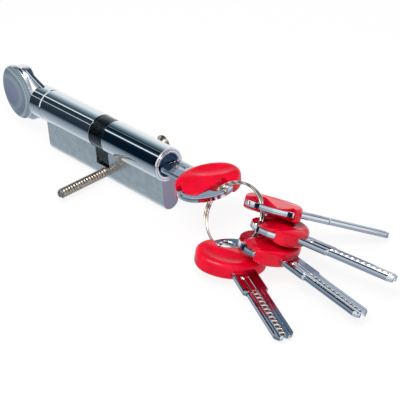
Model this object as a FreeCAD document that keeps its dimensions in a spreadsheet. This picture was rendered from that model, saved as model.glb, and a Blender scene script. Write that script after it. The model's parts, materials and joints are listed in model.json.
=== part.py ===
import FreeCAD, Part

# Euro profile lock cylinder: a key side with six pins, a thumb knob on the other side, its fixing
# screw, and five capped keys on a split ring, one of them in the lock. Millimetres.
# Frame: the origin is on the plug's axis at the middle of the cam, +X towards the key, +Z up.
# The housing's leg points down, and the loose keys lie at the level of its foot.

import math
import os
import re

import Sketcher
from FreeCAD import Placement, Rotation, Vector

SIZES = {
    # housing
    "key_side_length": 45.0,  # middle of the cam to the key side's face
    "knob_side_length": 45.0,  # middle of the cam to the knob side's face
    "round_radius": 8.5,  # the profile's round part
    "leg_width": 10.0,
    "leg_depth": 24.5,  # axis to the foot
    "slot_width": 10.0,  # the cam's slot
    "bridge_depth": 16.0,  # axis to the top of the bridge under the cam
    "edge_bevel": 0.35,
    "cut_overrun": 1.0,  # how far cutting tools pass the surface that they open
    # running parts
    "running_gap": 0.05,
    "plug_radius": 6.5,
    "spindle_radius": 5.5,
    "flange_radius": 7.2,
    "flange_thickness": 2.0,
    "tail_radius": 5.0,  # plug and spindle inside the cam
    "tail_gap": 0.6,  # half the gap between the two tails
    # pins
    "pin_count": 6,
    "pin_pitch": 4.0,
    "pin_setback": 7.5,  # face to the first pin
    "pin_radius": 1.4,
    "driver_length": 5.0,
    "spring_wall": 0.35,
    "stopper_length": 2.0,
    "stopper_setback": 0.25,
    "shear_gap": 0.06,
    # cam
    "cam_radius": 8.3,
    "cam_width": 9.4,
    "nose_width": 7.8,
    "nose_reach": 15.2,
    # retaining clips and coupler
    "clip_thickness": 0.8,
    "clip_radius": 7.4,
    "clip_seat_radius": 4.6,
    "clip_play": 0.1,
    "coupler_length": 5.0,
    "coupler_thickness": 3.0,
    "coupler_height": 11.6,
    # knob
    "knob_gap": 0.3,
    "collar_radius": 8.5,
    "collar_length": 9.0,
    "neck_radius": 4.0,
    "neck_length": 7.6,
    "neck_end_gap": 0.2,
    "arm_thickness": 6.0,
    "arm_root_reach": 4.4,  # housing face to where an arm leaves the collar
    "arm_root_drop": 0.9,
    "arm_bend_reach": 11.2,
    "arm_bend_drop": 2.1,
    "arm_end_drop": 0.05,
    "window_end_drop": 4.0,
    "window_bend_reach": 14.6,
    "window_bend_drop": 5.2,
    "window_root_gap": 0.6,
    "window_root_drop": 1.8,
    "grip_distance": 26.8,  # housing face to the grip's middle
    "grip_half_length": 12.7,
    "grip_half_height": 15.0,
    "grip_end_radius": 11.5,
    "grip_thickness": 7.0,
    "grip_round": 1.2,
    "dish_radius": 90.0,
    "dish_depth": 0.7,
    "grub_radius": 2.0,
    "grub_setback": 4.6,
    "grub_flat_play": 0.4,
    "grub_flat_depth": 0.6,
    # fixing screw
    "screw_depth": 20.0,  # axis to the screw
    "screw_radius": 2.5,
    "screw_tip_reach": 33.0,
    "screw_head_reach": 35.0,
    "head_radius": 4.7,
    "head_height": 2.6,
    "head_rim": 0.4,
    "screw_tip_bevel": 0.7,
    "recess_span": 4.6,
    "recess_width": 0.95,
    "recess_depth": 1.9,
    # keys, from the cap's root towards the free end
    "blade_length": 30.0,
    "blade_width": 9.0,
    "blade_thickness": 2.6,
    "blade_play": 0.15,
    "neck_blade_length": 13.0,
    "neck_blade_width": 11.6,
    "tip_bevel": 2.1,
    "tip_notch": 1.2,
    "groove_side": 2.9,  # the deep groove beside the track, turned over on the lower face
    "groove_width": 1.0,
    "groove_depth": 0.8,
    "groove_start": 3.0,
    "track_width": 3.3,
    "track_root_depth": 0.3,
    "track_tip_depth": 0.9,
    "bow_middle": 14.2,
    "bow_side": -1.2,
    "bow_long_half": 14.6,
    "bow_short_half": 11.3,
    "bow_end_radius": 9.4,
    "bow_turn": 10.0,  # degrees
    "bow_hole_radius": 4.8,
    "bow_hole_middle": 19.0,
    "bow_hole_side": 1.0,
    "cap_middle": 12.9,
    "cap_side": 1.1,
    "cap_long_half": 16.3,
    "cap_short_half": 12.0,
    "cap_end_radius": 9.5,
    "cap_thickness": 8.0,
    "cap_round": 2.2,
    "cap_notch_radius": 7.0,
    "taper_turn": -35.8,  # degrees: the way that both faces fall to the plate at the free end
    "taper_start": 8.3,
    "taper_run": 11.5,
    "taper_end": 1.6,  # half the cap's thickness there
    "scoop_long_bend": 47.0,  # how the scoop curves along and across the cap
    "scoop_short_bend": 12.0,
    "scoop_depth": 1.0,
    "scoop_middle": 10.5,
    "scoop_side": 6.0,
    # split ring
    "ring_radius": 15.25,  # to the middle of the wire
    "ring_wire": 1.25,
    "ring_turn_gap": 0.5,
    "ring_overlap": 25.0,  # degrees that each end runs past the half turn
    "ring_azimuth": 3.0,  # the way that the ring's axis faces
    "ring_elevation": 38.3,
    "ring_first_angle": 151.4,  # where the ring passes the first key's hole
    "ring_seat_along": 2.15,  # from the middle of that hole to the wire
    "ring_seat_side": -1.31,
    # from the wire to the middle of each loose key's hole, along the key and sideways
    "lowest_key_along": 0.25,
    "lowest_key_side": 2.54,
    "second_key_along": -2.50,
    "second_key_side": -1.63,
    "third_key_along": -3.12,
    "third_key_side": -1.12,
    "top_key_along": 0.78,
    "top_key_side": 1.43,
}

# Loose keys, from the bottom of the bunch up: where each hangs on the ring, its yaw, pitch and roll, all in degrees
LOOSE_KEYS = {
    "lowest": (-66.4, 157.8, -5.0, 10.9),
    "second": (-19.0, 176.9, -6.9, 22.1),
    "third": (8.4, 192.0, -5.9, 27.2),
    "top": (37.6, 235.4, -22.5, 23.3),
}

# Faces and edges that span less than this lie flat
FLAT = 1e-6

doc = FreeCAD.newDocument("lock_cylinder")
sheet = doc.addObject("Spreadsheet::Sheet", "sizes")
for row, (alias, size) in enumerate(SIZES.items(), start=1):
    sheet.set("A%d" % row, alias)
    sheet.set("B%d" % row, str(size))
    sheet.setAlias("B%d" % row, alias)
doc.recompute()

NODES = []


def cells(text):
    """An expression on the sheet, from a formula in the names of the sizes."""
    return re.sub(r"[a-z]+(?:_[a-z]+)+", lambda word: "sizes." + word.group(), str(text))


def value(text):
    """The number that a formula in the names of the sizes has now."""
    return float(sheet.evalExpression(cells(text)))


def bind(item, **formulas):
    """Bind properties to formulas. Two underscores stand for a point in a property's path."""
    for path, text in formulas.items():
        path = path.replace("__", ".")
        item.setExpression("." + path if "." in path else path, cells(text))
    return item


def node(item, name):
    """Name a finished sub-part."""
    item.Label = name
    NODES.append(item)
    return item


ALONG = {
    "X": Rotation(Vector(0, 1, 0), 90),
    "Z": Rotation(),
    "-Z": Rotation(Vector(1, 0, 0), 180),
}


def rod(name, along, radius, length, x="0", y="0", z="0"):
    """A cylinder that starts at a point and runs along an axis."""
    item = doc.addObject("Part::Cylinder", name)
    item.Placement = Placement(Vector(), ALONG[along])
    return bind(item, Radius=radius, Height=length, Placement__Base__x=x, Placement__Base__y=y, Placement__Base__z=z)


def block(name, length, width, height, x="0", y="0", z="0"):
    """A box centred on a point."""
    item = doc.addObject("Part::Box", name)
    return bind(
        item,
        Length=length,
        Width=width,
        Height=height,
        Placement__Base__x="(%s) - (%s)/2" % (x, length),
        Placement__Base__y="(%s) - (%s)/2" % (y, width),
        Placement__Base__z="(%s) - (%s)/2" % (z, height),
    )


def cut(name, base, *tools):
    """One piece less the others."""
    for number, tool in enumerate(tools, start=1):
        item = doc.addObject("Part::Cut", name if number == len(tools) else "%s_less_%d" % (name, number))
        item.Base, item.Tool = base, tool
        base = item
    return base


def fuse(name, *pieces):
    """Several pieces in one."""
    item = doc.addObject("Part::MultiFuse", name)
    item.Shapes = list(pieces)
    item.Refine = True
    return item


def mirrored(name, source, normal):
    """The mirror image of a piece in a plane through the origin."""
    item = doc.addObject("Part::Mirroring", name)
    item.Source, item.Base, item.Normal = source, Vector(), normal
    return item


def extruded(name, source, thickness, direction):
    """A flat outline made solid, half its thickness to each side."""
    item = doc.addObject("Part::Extrusion", name)
    item.Base, item.DirMode, item.Dir = source, "Custom", direction
    item.Symmetric, item.Solid = True, True
    return bind(item, LengthFwd=thickness)


def body_sketch(body, name, role, offset="0"):
    """A sketch on one of a body's own planes, moved along the plane's normal."""
    item = body.newObject("Sketcher::SketchObject", name)
    plane = next(f for f in body.Origin.OriginFeatures if f.Role == role)
    item.AttachmentSupport = (plane, [""])
    item.MapMode = "FlatFace"
    return bind(item, AttachmentOffset__Base__z=offset)


def free_sketch(name, rotation=Rotation()):
    """A sketch that belongs to no body."""
    item = doc.addObject("Sketcher::SketchObject", name)
    item.Placement = Placement(Vector(), rotation)
    return item


def pin_point(item, edge, end, x, y):
    """Hold a point of a sketch at two formulas."""
    for kind, text in (("DistanceX", x), ("DistanceY", y)):
        index = item.addConstraint(Sketcher.Constraint(kind, -1, 1, edge, end, value(text)))
        item.setExpression("Constraints[%d]" % index, cells(text))


def arc_between(start, end, radius, wide):
    """The arc that turns left from start to end."""
    chord = end - start
    half = chord.Length / 2
    rise = math.sqrt(max(radius * radius - half * half, 0))
    left = Vector(-chord.y, chord.x, 0).normalize()
    middle = (start + end) / 2 + left * (-rise if wide else rise)
    angles = [math.atan2(p.y - middle.y, p.x - middle.x) for p in (start, end)]
    return Part.ArcOfCircle(Part.Circle(middle, Vector(0, 0, 1), radius), *angles)


def outline(item, corners, arcs=None):
    """A closed outline, counterclockwise. arcs: corner number to the radius of the arc that leaves it, with the
    word wide where it is over a half turn; a leading minus turns the arc inwards."""
    arcs = arcs or {}
    points = [Vector(value(x), value(y), 0) for x, y in corners]
    ends = []
    for number, start in enumerate(points):
        end = points[(number + 1) % len(points)]
        if number not in arcs:
            item.addGeometry(Part.LineSegment(start, end), False)
            ends.append((1, 2))
            continue
        text = arcs[number]
        inwards, wide = text.startswith("-"), text.endswith("wide")
        text = text.strip("-").replace("wide", "").strip()
        first, last = (end, start) if inwards else (start, end)
        item.addGeometry(arc_between(first, last, value(text), wide), False)
        ends.append((2, 1) if inwards else (1, 2))
        index = item.addConstraint(Sketcher.Constraint("Radius", number, value(text)))
        item.setExpression("Constraints[%d]" % index, cells(text))
    for number, (x, y) in enumerate(corners):
        after = (number + 1) % len(corners)
        item.addConstraint(Sketcher.Constraint("Coincident", number, ends[number][1], after, ends[after][0]))
        pin_point(item, number, ends[number][0], x, y)
    return item


def oval(name, middle, side, long_half, short_half, end_radius, turn, upright=False):
    """A closed oval of four tangent arcs in a sketch, its long way across the key or, upright, along Z."""
    side_radius = "(%s*%s + %s*%s - 2*%s*%s)/(2*(%s - %s))" % (
        long_half, long_half, short_half, short_half, long_half, end_radius, short_half, end_radius,
    )
    share = "%s/(%s - %s)" % (end_radius, side_radius, end_radius)
    out = "((%s - %s)*(1 + %s))" % (long_half, end_radius, share)
    up = "((%s - %s)*%s)" % (side_radius, short_half, share)
    item = free_sketch(name, Rotation(Vector(1, 1, 1), 240) if upright else Rotation(Vector(0, 0, 1), 90))
    outline(
        item,
        [(out, "-" + up), (out, up), ("-" + out, up), ("-" + out, "-" + up)],
        {0: end_radius, 1: side_radius, 2: end_radius, 3: side_radius},
    )
    bind(item, Placement__Base__x=middle, Placement__Base__y=side)
    return item if upright else bind(item, Placement__Rotation__Angle="90 - (%s)" % turn)


def circle(item, x, y, radius):
    """A circle in a sketch."""
    edge = item.addGeometry(Part.Circle(Vector(value(x), value(y), 0), Vector(0, 0, 1), value(radius)), False)
    index = item.addConstraint(Sketcher.Constraint("Radius", edge, value(radius)))
    item.setExpression("Constraints[%d]" % index, cells(radius))
    pin_point(item, edge, 3, x, y)
    return item


def rectangle(item, half_x, half_y):
    """A rectangle about a sketch's origin."""
    return outline(item, [
        ("-(%s)" % half_x, "-(%s)" % half_y),
        (half_x, "-(%s)" % half_y),
        (half_x, half_y),
        ("-(%s)" % half_x, half_y),
    ])


def feature(body, kind, name, profile, **settings):
    """A feature made from a sketch."""
    item = body.newObject("PartDesign::" + kind, name)
    item.Profile = profile
    for key, setting in settings.items():
        setattr(item, key, setting)
    profile.Visibility = False
    return item


def turned(body, kind, name, corners, axis="H_Axis", role="XZ_Plane", offset="0"):
    """A revolved feature: corners are (along the axis, radius), or the other way round about V_Axis."""
    profile = outline(body_sketch(body, name + "_sketch", role, offset), corners)
    return feature(body, kind, name, profile, ReferenceAxis=(profile, [axis]), Angle=360)


def new_body(name):
    """A body whose label is a node's name."""
    return node(doc.addObject("PartDesign::Body", name + "_body"), name)


def pin_row(body, name):
    """Holes for the row of pins, down from the axis, repeated towards the cam."""
    profile = body_sketch(body, name + "_sketch", "XY_Plane")
    circle(profile, "key_side_length - pin_setback", "0", "pin_radius + running_gap")
    first = feature(body, "Pocket", name, profile, Type="ThroughAll")
    row = body.newObject("PartDesign::LinearPattern", name + "_row")
    row.Originals = [first]
    row.Direction = (profile, ["H_Axis"])
    row.Reversed = True
    bind(row, Length="(pin_count - 1)*pin_pitch", Occurrences="pin_count")
    body.Tip = row


def make_housing():
    """The profile housing: round part, leg with a round foot, cam slot, bores, chambers and screw hole."""
    body = new_body("housing")
    shoulder = "-sqrt(round_radius*round_radius - leg_width*leg_width/4)"
    profile = outline(
        body_sketch(body, "housing_profile", "YZ_Plane", "-knob_side_length"),
        [
            ("leg_width/2", shoulder),
            ("-leg_width/2", shoulder),
            ("-leg_width/2", "-leg_depth + leg_width/2"),
            ("0", "-leg_depth"),
            ("leg_width/2", "-leg_depth + leg_width/2"),
        ],
        {0: "round_radius wide", 2: "leg_width/2", 3: "leg_width/2"},
    )
    bar = bind(feature(body, "Pad", "housing_bar", profile), Length="key_side_length + knob_side_length")
    doc.recompute()
    faces = (value("key_side_length"), -value("knob_side_length"))
    rims = [
        "Edge%d" % (number + 1)
        for number, edge in enumerate(bar.Shape.Edges)
        if edge.BoundBox.XLength < FLAT and min(abs(edge.BoundBox.XMin - x) for x in faces) < FLAT
    ]
    bevel = body.newObject("PartDesign::Chamfer", "housing_bevel")
    bevel.Base = (bar, rims)
    bind(bevel, Size="edge_bevel")
    slot = body_sketch(body, "slot_sketch", "XZ_Plane")
    outline(slot, [
        ("-slot_width/2", "-bridge_depth"),
        ("slot_width/2", "-bridge_depth"),
        ("slot_width/2", "round_radius + cut_overrun"),
        ("-slot_width/2", "round_radius + cut_overrun"),
    ])
    feature(body, "Pocket", "cam_slot", slot, Type="ThroughAll", Midplane=True)
    wide = "flange_radius + running_gap"
    front = "key_side_length - flange_thickness - running_gap"
    back = "-knob_side_length + flange_thickness + running_gap"
    turned(body, "Groove", "bores", [
        ("key_side_length + cut_overrun", "0"),
        ("key_side_length + cut_overrun", wide),
        (front, wide),
        (front, "plug_radius + running_gap"),
        ("0", "plug_radius + running_gap"),
        ("0", "spindle_radius + running_gap"),
        (back, "spindle_radius + running_gap"),
        (back, wide),
        ("-knob_side_length - cut_overrun", wide),
        ("-knob_side_length - cut_overrun", "0"),
    ])
    hole = circle(body_sketch(body, "screw_hole_sketch", "XZ_Plane"), "0", "-screw_depth", "screw_radius + running_gap")
    feature(body, "Pocket", "screw_hole", hole, Type="ThroughAll", Midplane=True)
    pin_row(body, "chamber")


def tail_corners(side):
    """The half profile shared by plug and spindle inside the cam, from the end outwards. side is 1 or -1."""
    groove_in = "slot_width/2 - clip_thickness - 1.5*clip_play"
    groove_out = "slot_width/2 - 0.5*clip_play"
    sign = "" if side > 0 else "-"
    return [
        (sign + "tail_gap", "0"),
        (sign + "tail_gap", "tail_radius"),
        ("%s(%s)" % (sign, groove_in), "tail_radius"),
        ("%s(%s)" % (sign, groove_in), "clip_seat_radius - running_gap"),
        ("%s(%s)" % (sign, groove_out), "clip_seat_radius - running_gap"),
        ("%s(%s)" % (sign, groove_out), "tail_radius"),
        ("%sslot_width/2" % sign, "tail_radius"),
    ]


def coupler_slot(body, name, side):
    """The slot across a tail that the coupler turns."""
    profile = body_sketch(body, name + "_sketch", "YZ_Plane", "tail_gap" if side > 0 else "-tail_gap")
    rectangle(profile, "coupler_thickness/2 + running_gap", "tail_radius + cut_overrun")
    slot = feature(body, "Pocket", name, profile, Reversed=side > 0)
    return bind(slot, Length="coupler_length/2 - tail_gap + 2*running_gap")


def make_plug():
    """The plug: flange, keyway, pin bores and the tail in the cam."""
    body = new_body("key_plug")
    turned(body, "Revolution", "plug_turned", tail_corners(1) + [
        ("slot_width/2", "plug_radius"),
        ("key_side_length - flange_thickness", "plug_radius"),
        ("key_side_length - flange_thickness", "flange_radius"),
        ("key_side_length", "flange_radius"),
        ("key_side_length", "0"),
    ])
    keyway = body_sketch(body, "keyway_sketch", "YZ_Plane", "key_side_length")
    rectangle(keyway, "blade_width/2 + blade_play", "blade_thickness/2 + blade_play")
    bind(feature(body, "Pocket", "keyway", keyway), Length="blade_length + 4*blade_play")
    coupler_slot(body, "plug_slot", 1)
    pin_row(body, "pin_bore")


def make_spindle():
    """The knob's spindle: the tail in the cam, a flange in the housing's face and a neck in the knob."""
    body = new_body("knob_spindle")
    corners = tail_corners(-1) + [
        ("-slot_width/2", "spindle_radius"),
        ("-knob_side_length + flange_thickness", "spindle_radius"),
        ("-knob_side_length + flange_thickness", "flange_radius"),
        ("-knob_side_length", "flange_radius"),
        ("-knob_side_length", "neck_radius"),
        ("-knob_side_length - neck_length", "neck_radius"),
        ("-knob_side_length - neck_length", "0"),
    ]
    turned(body, "Revolution", "spindle_turned", corners[::-1])
    coupler_slot(body, "spindle_slot", -1)
    flat = body_sketch(body, "flat_sketch", "XZ_Plane")
    middle = "-knob_side_length - knob_gap - grub_setback"
    outline(flat, [
        (middle + " - grub_radius - grub_flat_play", "-neck_radius - cut_overrun"),
        (middle + " + grub_radius + grub_flat_play", "-neck_radius - cut_overrun"),
        (middle + " + grub_radius + grub_flat_play", "-neck_radius + grub_flat_depth"),
        (middle + " - grub_radius - grub_flat_play", "-neck_radius + grub_flat_depth"),
    ])
    feature(body, "Pocket", "grub_flat", flat, Type="ThroughAll", Midplane=True)


def make_cam():
    """The cam: a ring in the slot with a square nose that hangs down to throw the bolt."""
    body = new_body("cam")
    root = "-sqrt(cam_radius*cam_radius - nose_width*nose_width/4)"
    tip = "-sqrt(nose_reach*nose_reach - nose_width*nose_width/4)"
    profile = outline(
        body_sketch(body, "cam_profile", "YZ_Plane"),
        [
            ("nose_width/2", root),
            ("-nose_width/2", root),
            ("-nose_width/2", tip),
            ("nose_width/2", tip),
        ],
        {0: "cam_radius wide", 2: "nose_reach"},
    )
    bind(feature(body, "Pad", "cam_pad", profile, Midplane=True), Length="cam_width")
    seat = "cam_width/2 - clip_thickness - clip_play"
    turned(body, "Groove", "cam_bore", [
        ("cam_width/2 + cut_overrun", "0"),
        ("cam_width/2 + cut_overrun", "clip_radius + 4*running_gap"),
        (seat, "clip_radius + 4*running_gap"),
        (seat, "tail_radius + running_gap"),
        ("-(%s)" % seat, "tail_radius + running_gap"),
        ("-(%s)" % seat, "clip_radius + 4*running_gap"),
        ("-cam_width/2 - cut_overrun", "clip_radius + 4*running_gap"),
        ("-cam_width/2 - cut_overrun", "0"),
    ])
    slot = body_sketch(body, "cam_key_sketch", "YZ_Plane")
    rectangle(slot, "coupler_thickness/2 + running_gap", "coupler_height/2 + running_gap")
    feature(body, "Pocket", "cam_key_slot", slot, Type="ThroughAll", Midplane=True)


def make_coupler_and_clips():
    """The bar that ties plug, cam and spindle, and the two open clips that hold plug and spindle in."""
    node(block("coupler_bar", "coupler_length", "coupler_thickness", "coupler_height"), "clutch_coupler")
    for name, start in (
        ("clip_key_side", "slot_width/2 - clip_thickness - clip_play"),
        ("clip_knob_side", "-slot_width/2 + clip_play"),
    ):
        washer = rod(name + "_washer", "X", "clip_radius", "clip_thickness", x=start)
        seat = rod(name + "_seat", "X", "clip_seat_radius", "clip_thickness", x=start)
        mouth = block(
            name + "_mouth", "4*clip_thickness", "1.5*clip_seat_radius", "2*clip_radius", x=start, z="clip_radius"
        )
        node(cut(name + "_cut", washer, seat, mouth), name)


def make_pins():
    """Key pins in the plug, and driver pins, springs and stoppers in the leg's chambers."""
    floor = "-leg_depth + stopper_setback"
    stoppers = []
    for number in range(int(value("pin_count"))):
        x = "key_side_length - pin_setback - %d*pin_pitch" % number
        along = "(key_side_length - (%s) - pin_radius)/blade_length" % x
        depth = "track_root_depth + (track_tip_depth - track_root_depth)*%s" % along
        low = "-sqrt(plug_radius*plug_radius - pin_radius*pin_radius) + running_gap"
        high = "-blade_thickness/2 + %s - running_gap" % depth
        count = number + 1
        node(rod("key_pin_rod_%d" % count, "Z", "pin_radius", "(%s) - (%s)" % (high, low), x=x, z=low), "key_pin_%d" % count)
        top = "-plug_radius - shear_gap"
        node(rod("driver_rod_%d" % count, "-Z", "pin_radius", "driver_length", x=x, z=top), "driver_pin_%d" % count)
        spring_top = "%s - driver_length" % top
        spring_length = "(%s) - (%s + stopper_length)" % (spring_top, floor)
        outside = rod("spring_outside_%d" % count, "-Z", "pin_radius - running_gap", spring_length, x=x, z=spring_top)
        inside = rod(
            "spring_inside_%d" % count, "-Z", "pin_radius - running_gap - spring_wall", spring_length, x=x, z=spring_top
        )
        node(cut("spring_cut_%d" % count, outside, inside), "driver_spring_%d" % count)
        stoppers.append(rod("stopper_%d" % count, "Z", "pin_radius + 0.8*running_gap", "stopper_length", x=x, z=floor))
    row = doc.addObject("Part::Compound", "stopper_row")
    row.Links = stoppers
    node(row, "chamber_stoppers")


def make_knob():
    """The thumb knob: a collar, two arms with a window between them, and an oval grip with dished faces."""
    face = "-knob_side_length - knob_gap"
    middle = "(-knob_side_length - grip_distance)"
    collar = rod("collar", "X", "collar_radius", "collar_length", x=face + " - collar_length")
    bore = rod("collar_bore", "X", "neck_radius + running_gap", "neck_length + neck_end_gap", x=face + " - neck_length")
    side = Rotation(Vector(1, 0, 0), 90)
    arm = free_sketch("arm_sketch", side)
    outline(
        arm,
        [
            (face + " - arm_root_reach", "collar_radius - arm_root_drop"),
            (face + " - arm_bend_reach", "grip_half_height - arm_bend_drop"),
            (middle, "grip_half_height - arm_end_drop"),
            (middle, "grip_half_height - window_end_drop"),
            (face + " - window_bend_reach", "grip_half_height - window_bend_drop"),
            (face + " - collar_length + window_root_gap", "collar_radius - window_root_drop"),
        ],
        {0: "collar_radius*1.4", 1: "grip_half_height*3", 3: "-grip_half_height*2.4"},
    )
    upper = extruded("upper_arm", arm, "arm_thickness", Vector(0, 1, 0))
    lower = mirrored("lower_arm", upper, Vector(0, 0, 1))
    edge = oval("grip_edge", middle, "0", "grip_half_height", "grip_half_length", "grip_end_radius", "0", upright=True)
    disc = extruded("grip_disc", edge, "grip_thickness", Vector(0, 1, 0))
    doc.recompute()
    rounded = doc.addObject("Part::Fillet", "grip_rounded")
    rounded.Base = disc
    radius = value("grip_round")
    rounded.Edges = [
        (number + 1, radius, radius)
        for number, rim in enumerate(disc.Shape.Edges)
        if rim.BoundBox.YLength < FLAT
    ]
    dishes = []
    for name, sign in (("dish_front", "-"), ("dish_back", "")):
        ball = doc.addObject("Part::Sphere", name)
        offset = "%s(grip_thickness/2 + dish_radius - dish_depth)" % sign
        dishes.append(bind(ball, Radius="dish_radius", Placement__Base__x=middle, Placement__Base__y=offset))
    grip = cut("grip_dished", rounded, *dishes)
    tapped = rod("grub_hole", "-Z", "grub_radius", "collar_radius + cut_overrun", x=face + " - grub_setback")
    whole = fuse("knob_fused", collar, upper, lower, grip)
    node(cut("knob_cut", whole, bore, tapped), "knob")
    seat = "-neck_radius + grub_flat_depth - running_gap"
    screw = rod(
        "grub_rod", "-Z", "grub_radius - running_gap", "collar_radius - neck_radius", x=face + " - grub_setback", z=seat
    )
    socket = doc.addObject("Part::Prism", "grub_socket")
    socket.Polygon = 6
    bind(
        socket,
        Circumradius="grub_radius/2",
        Height="grub_radius",
        Placement__Base__x=face + " - grub_setback",
        Placement__Base__z="%s - (collar_radius - neck_radius)" % seat,
    )
    node(cut("grub_cut", screw, socket), "knob_grub_screw")


def make_fixing_screw():
    """The long screw through the leg's bridge: chamfered tip, countersunk head and crossed recess."""
    body = new_body("fixing_screw")
    turned(body, "Revolution", "screw_turned", [
        ("0", "-screw_tip_reach"),
        ("screw_radius - screw_tip_bevel", "-screw_tip_reach"),
        ("screw_radius", "-screw_tip_reach + screw_tip_bevel"),
        ("screw_radius", "screw_head_reach - head_height"),
        ("head_radius", "screw_head_reach - head_rim"),
        ("head_radius", "screw_head_reach"),
        ("0", "screw_head_reach"),
    ], axis="V_Axis", role="XY_Plane", offset="-screw_depth")
    cross = body_sketch(body, "recess_sketch", "XZ_Plane", "-screw_head_reach")
    arm, half = "recess_span/2", "recess_width/2"
    low, high = "-screw_depth - ", "-screw_depth + "
    outline(cross, [
        ("-" + arm, low + half), ("-" + half, low + half), ("-" + half, low + arm),
        (half, low + arm), (half, low + half), (arm, low + half),
        (arm, high + half), (half, high + half), (half, high + arm),
        ("-" + half, high + arm), ("-" + half, high + half), ("-" + arm, high + half),
    ])
    bind(feature(body, "Pocket", "recess", cross, Reversed=True), Length="recess_depth")


def key_template():
    """One key in its own frame: the blank and the cap. The blade points along -X and lies in the XY plane."""
    tip = "-neck_blade_length - blade_length"
    half, neck = "blade_width/2", "neck_blade_width/2"
    flat = outline(free_sketch("blade_sketch"), [
        ("cap_short_half/3", "-" + neck), ("cap_short_half/3", neck),
        ("-neck_blade_length", neck), ("-neck_blade_length", half),
        (tip + " + tip_bevel", half), (tip, half + " - tip_bevel"),
        (tip, "tip_notch"), (tip + " + tip_notch", "0"), (tip, "-tip_notch"),
        (tip, "-%s + tip_bevel" % half), (tip + " + tip_bevel", "-" + half),
        ("-neck_blade_length", "-" + half), ("-neck_blade_length", "-" + neck),
    ])
    blade = extruded("blade", flat, "blade_thickness", Vector(0, 0, 1))
    edge = oval("bow_edge", "bow_middle", "bow_side", "bow_long_half", "bow_short_half", "bow_end_radius", "bow_turn")
    bow = extruded("bow", edge, "blade_thickness", Vector(0, 0, 1))
    hole = rod("bow_hole", "Z", "bow_hole_radius", "2*blade_thickness", "bow_hole_middle", "bow_hole_side", "-blade_thickness")
    under = "-blade_thickness/2"
    ramp = outline(free_sketch("track_sketch", Rotation(Vector(1, 0, 0), 90)), [
        (tip + " - cut_overrun", under + " - cut_overrun"),
        ("-neck_blade_length", under + " - cut_overrun"),
        ("-neck_blade_length", under + " + track_root_depth"),
        (tip, under + " + track_tip_depth"),
        (tip + " - cut_overrun", under + " + track_tip_depth"),
    ])
    track = extruded("track", ramp, "track_width", Vector(0, 1, 0))
    upper_track = mirrored("upper_track", track, Vector(0, 0, 1))
    grooves = [
        block(
            name, "-(%s) - groove_start" % tip, "groove_width", "2*groove_depth",
            x="(%s - groove_start)/2" % tip, y=side + "groove_side", z=side + "blade_thickness/2",
        )
        for name, side in (("upper_groove", ""), ("lower_groove", "-"))
    ]
    blank = cut("key_blank", fuse("key_plate", blade, bow), hole, track, upper_track, *grooves)

    rim = oval("cap_edge", "cap_middle", "cap_side", "cap_long_half", "cap_short_half", "cap_end_radius", "bow_turn")
    pillow = extruded("cap_pillow", rim, "cap_thickness", Vector(0, 0, 1))
    doc.recompute()
    rounded = doc.addObject("Part::Fillet", "cap_rounded")
    rounded.Base = pillow
    radius = value("cap_round")
    rounded.Edges = [
        (number + 1, radius, radius)
        for number, line in enumerate(pillow.Shape.Edges)
        if line.BoundBox.ZLength < FLAT
    ]
    notch = rod("cap_notch", "Z", "cap_notch_radius", "2*cap_thickness", "bow_hole_middle", "bow_hole_side", "-cap_thickness")
    gate = block(
        "cap_gate", "cap_short_half", "2*cap_notch_radius", "2*cap_thickness",
        x="bow_hole_middle + cap_short_half/2", y="bow_hole_side",
    )
    turn = Rotation(Vector(0, 0, 1), value("taper_turn"))
    scoop = doc.addObject("Part::Torus", "scoop")
    scoop.Placement = Placement(Vector(), turn * ALONG["X"])
    bind(
        scoop,
        Radius1="scoop_long_bend - scoop_short_bend",
        Radius2="scoop_short_bend",
        Placement__Base__x="scoop_middle",
        Placement__Base__y="scoop_side",
        Placement__Base__z="cap_thickness/2 + scoop_long_bend - scoop_depth",
    )
    lower_scoop = mirrored("lower_scoop", scoop, Vector(0, 0, 1))
    crest = "cap_thickness/2 + cut_overrun"
    wedge = outline(free_sketch("taper_sketch", turn * Rotation(Vector(1, 0, 0), 90)), [
        ("taper_start - cut_overrun*taper_run/(cap_thickness/2 - taper_end)", crest),
        ("taper_start + taper_run", "taper_end"),
        ("taper_start + 2*taper_run", "taper_end"),
        ("taper_start + 2*taper_run", crest),
    ])
    taper = extruded("taper", wedge, "4*cap_long_half", turn.multVec(Vector(0, 1, 0)))
    lower_taper = mirrored("lower_taper", taper, Vector(0, 0, 1))
    cap = cut("key_cap", rounded, scoop, lower_scoop, taper, lower_taper, notch, gate, blank)
    return blank, cap


def ring_axes():
    """The ring's axis, and the level and the rising direction in its plane."""
    azimuth, elevation = math.radians(value("ring_azimuth")), math.radians(value("ring_elevation"))
    axis = Vector(
        math.sin(azimuth) * math.cos(elevation), -math.cos(azimuth) * math.cos(elevation), math.sin(elevation)
    )
    level = Vector(0, 0, 1).cross(axis).normalize()
    return axis, level, axis.cross(level)


def ring_spoke(degrees):
    """The direction from the ring's middle to a point on it."""
    axis, level, rise = ring_axes()
    angle = math.radians(degrees)
    return level * math.cos(angle) + rise * math.sin(angle)


def hole_place(placement):
    """Where a placed key has the middle of its ring hole."""
    return placement.multVec(Vector(value("bow_hole_middle"), value("bow_hole_side"), 0))


def ring_middle(first_key):
    """The ring's middle, from the hole of the key in the lock."""
    seat = hole_place(first_key) + Vector(value("ring_seat_along"), value("ring_seat_side"), 0)
    return seat - ring_spoke(value("ring_first_angle")) * value("ring_radius")


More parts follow.
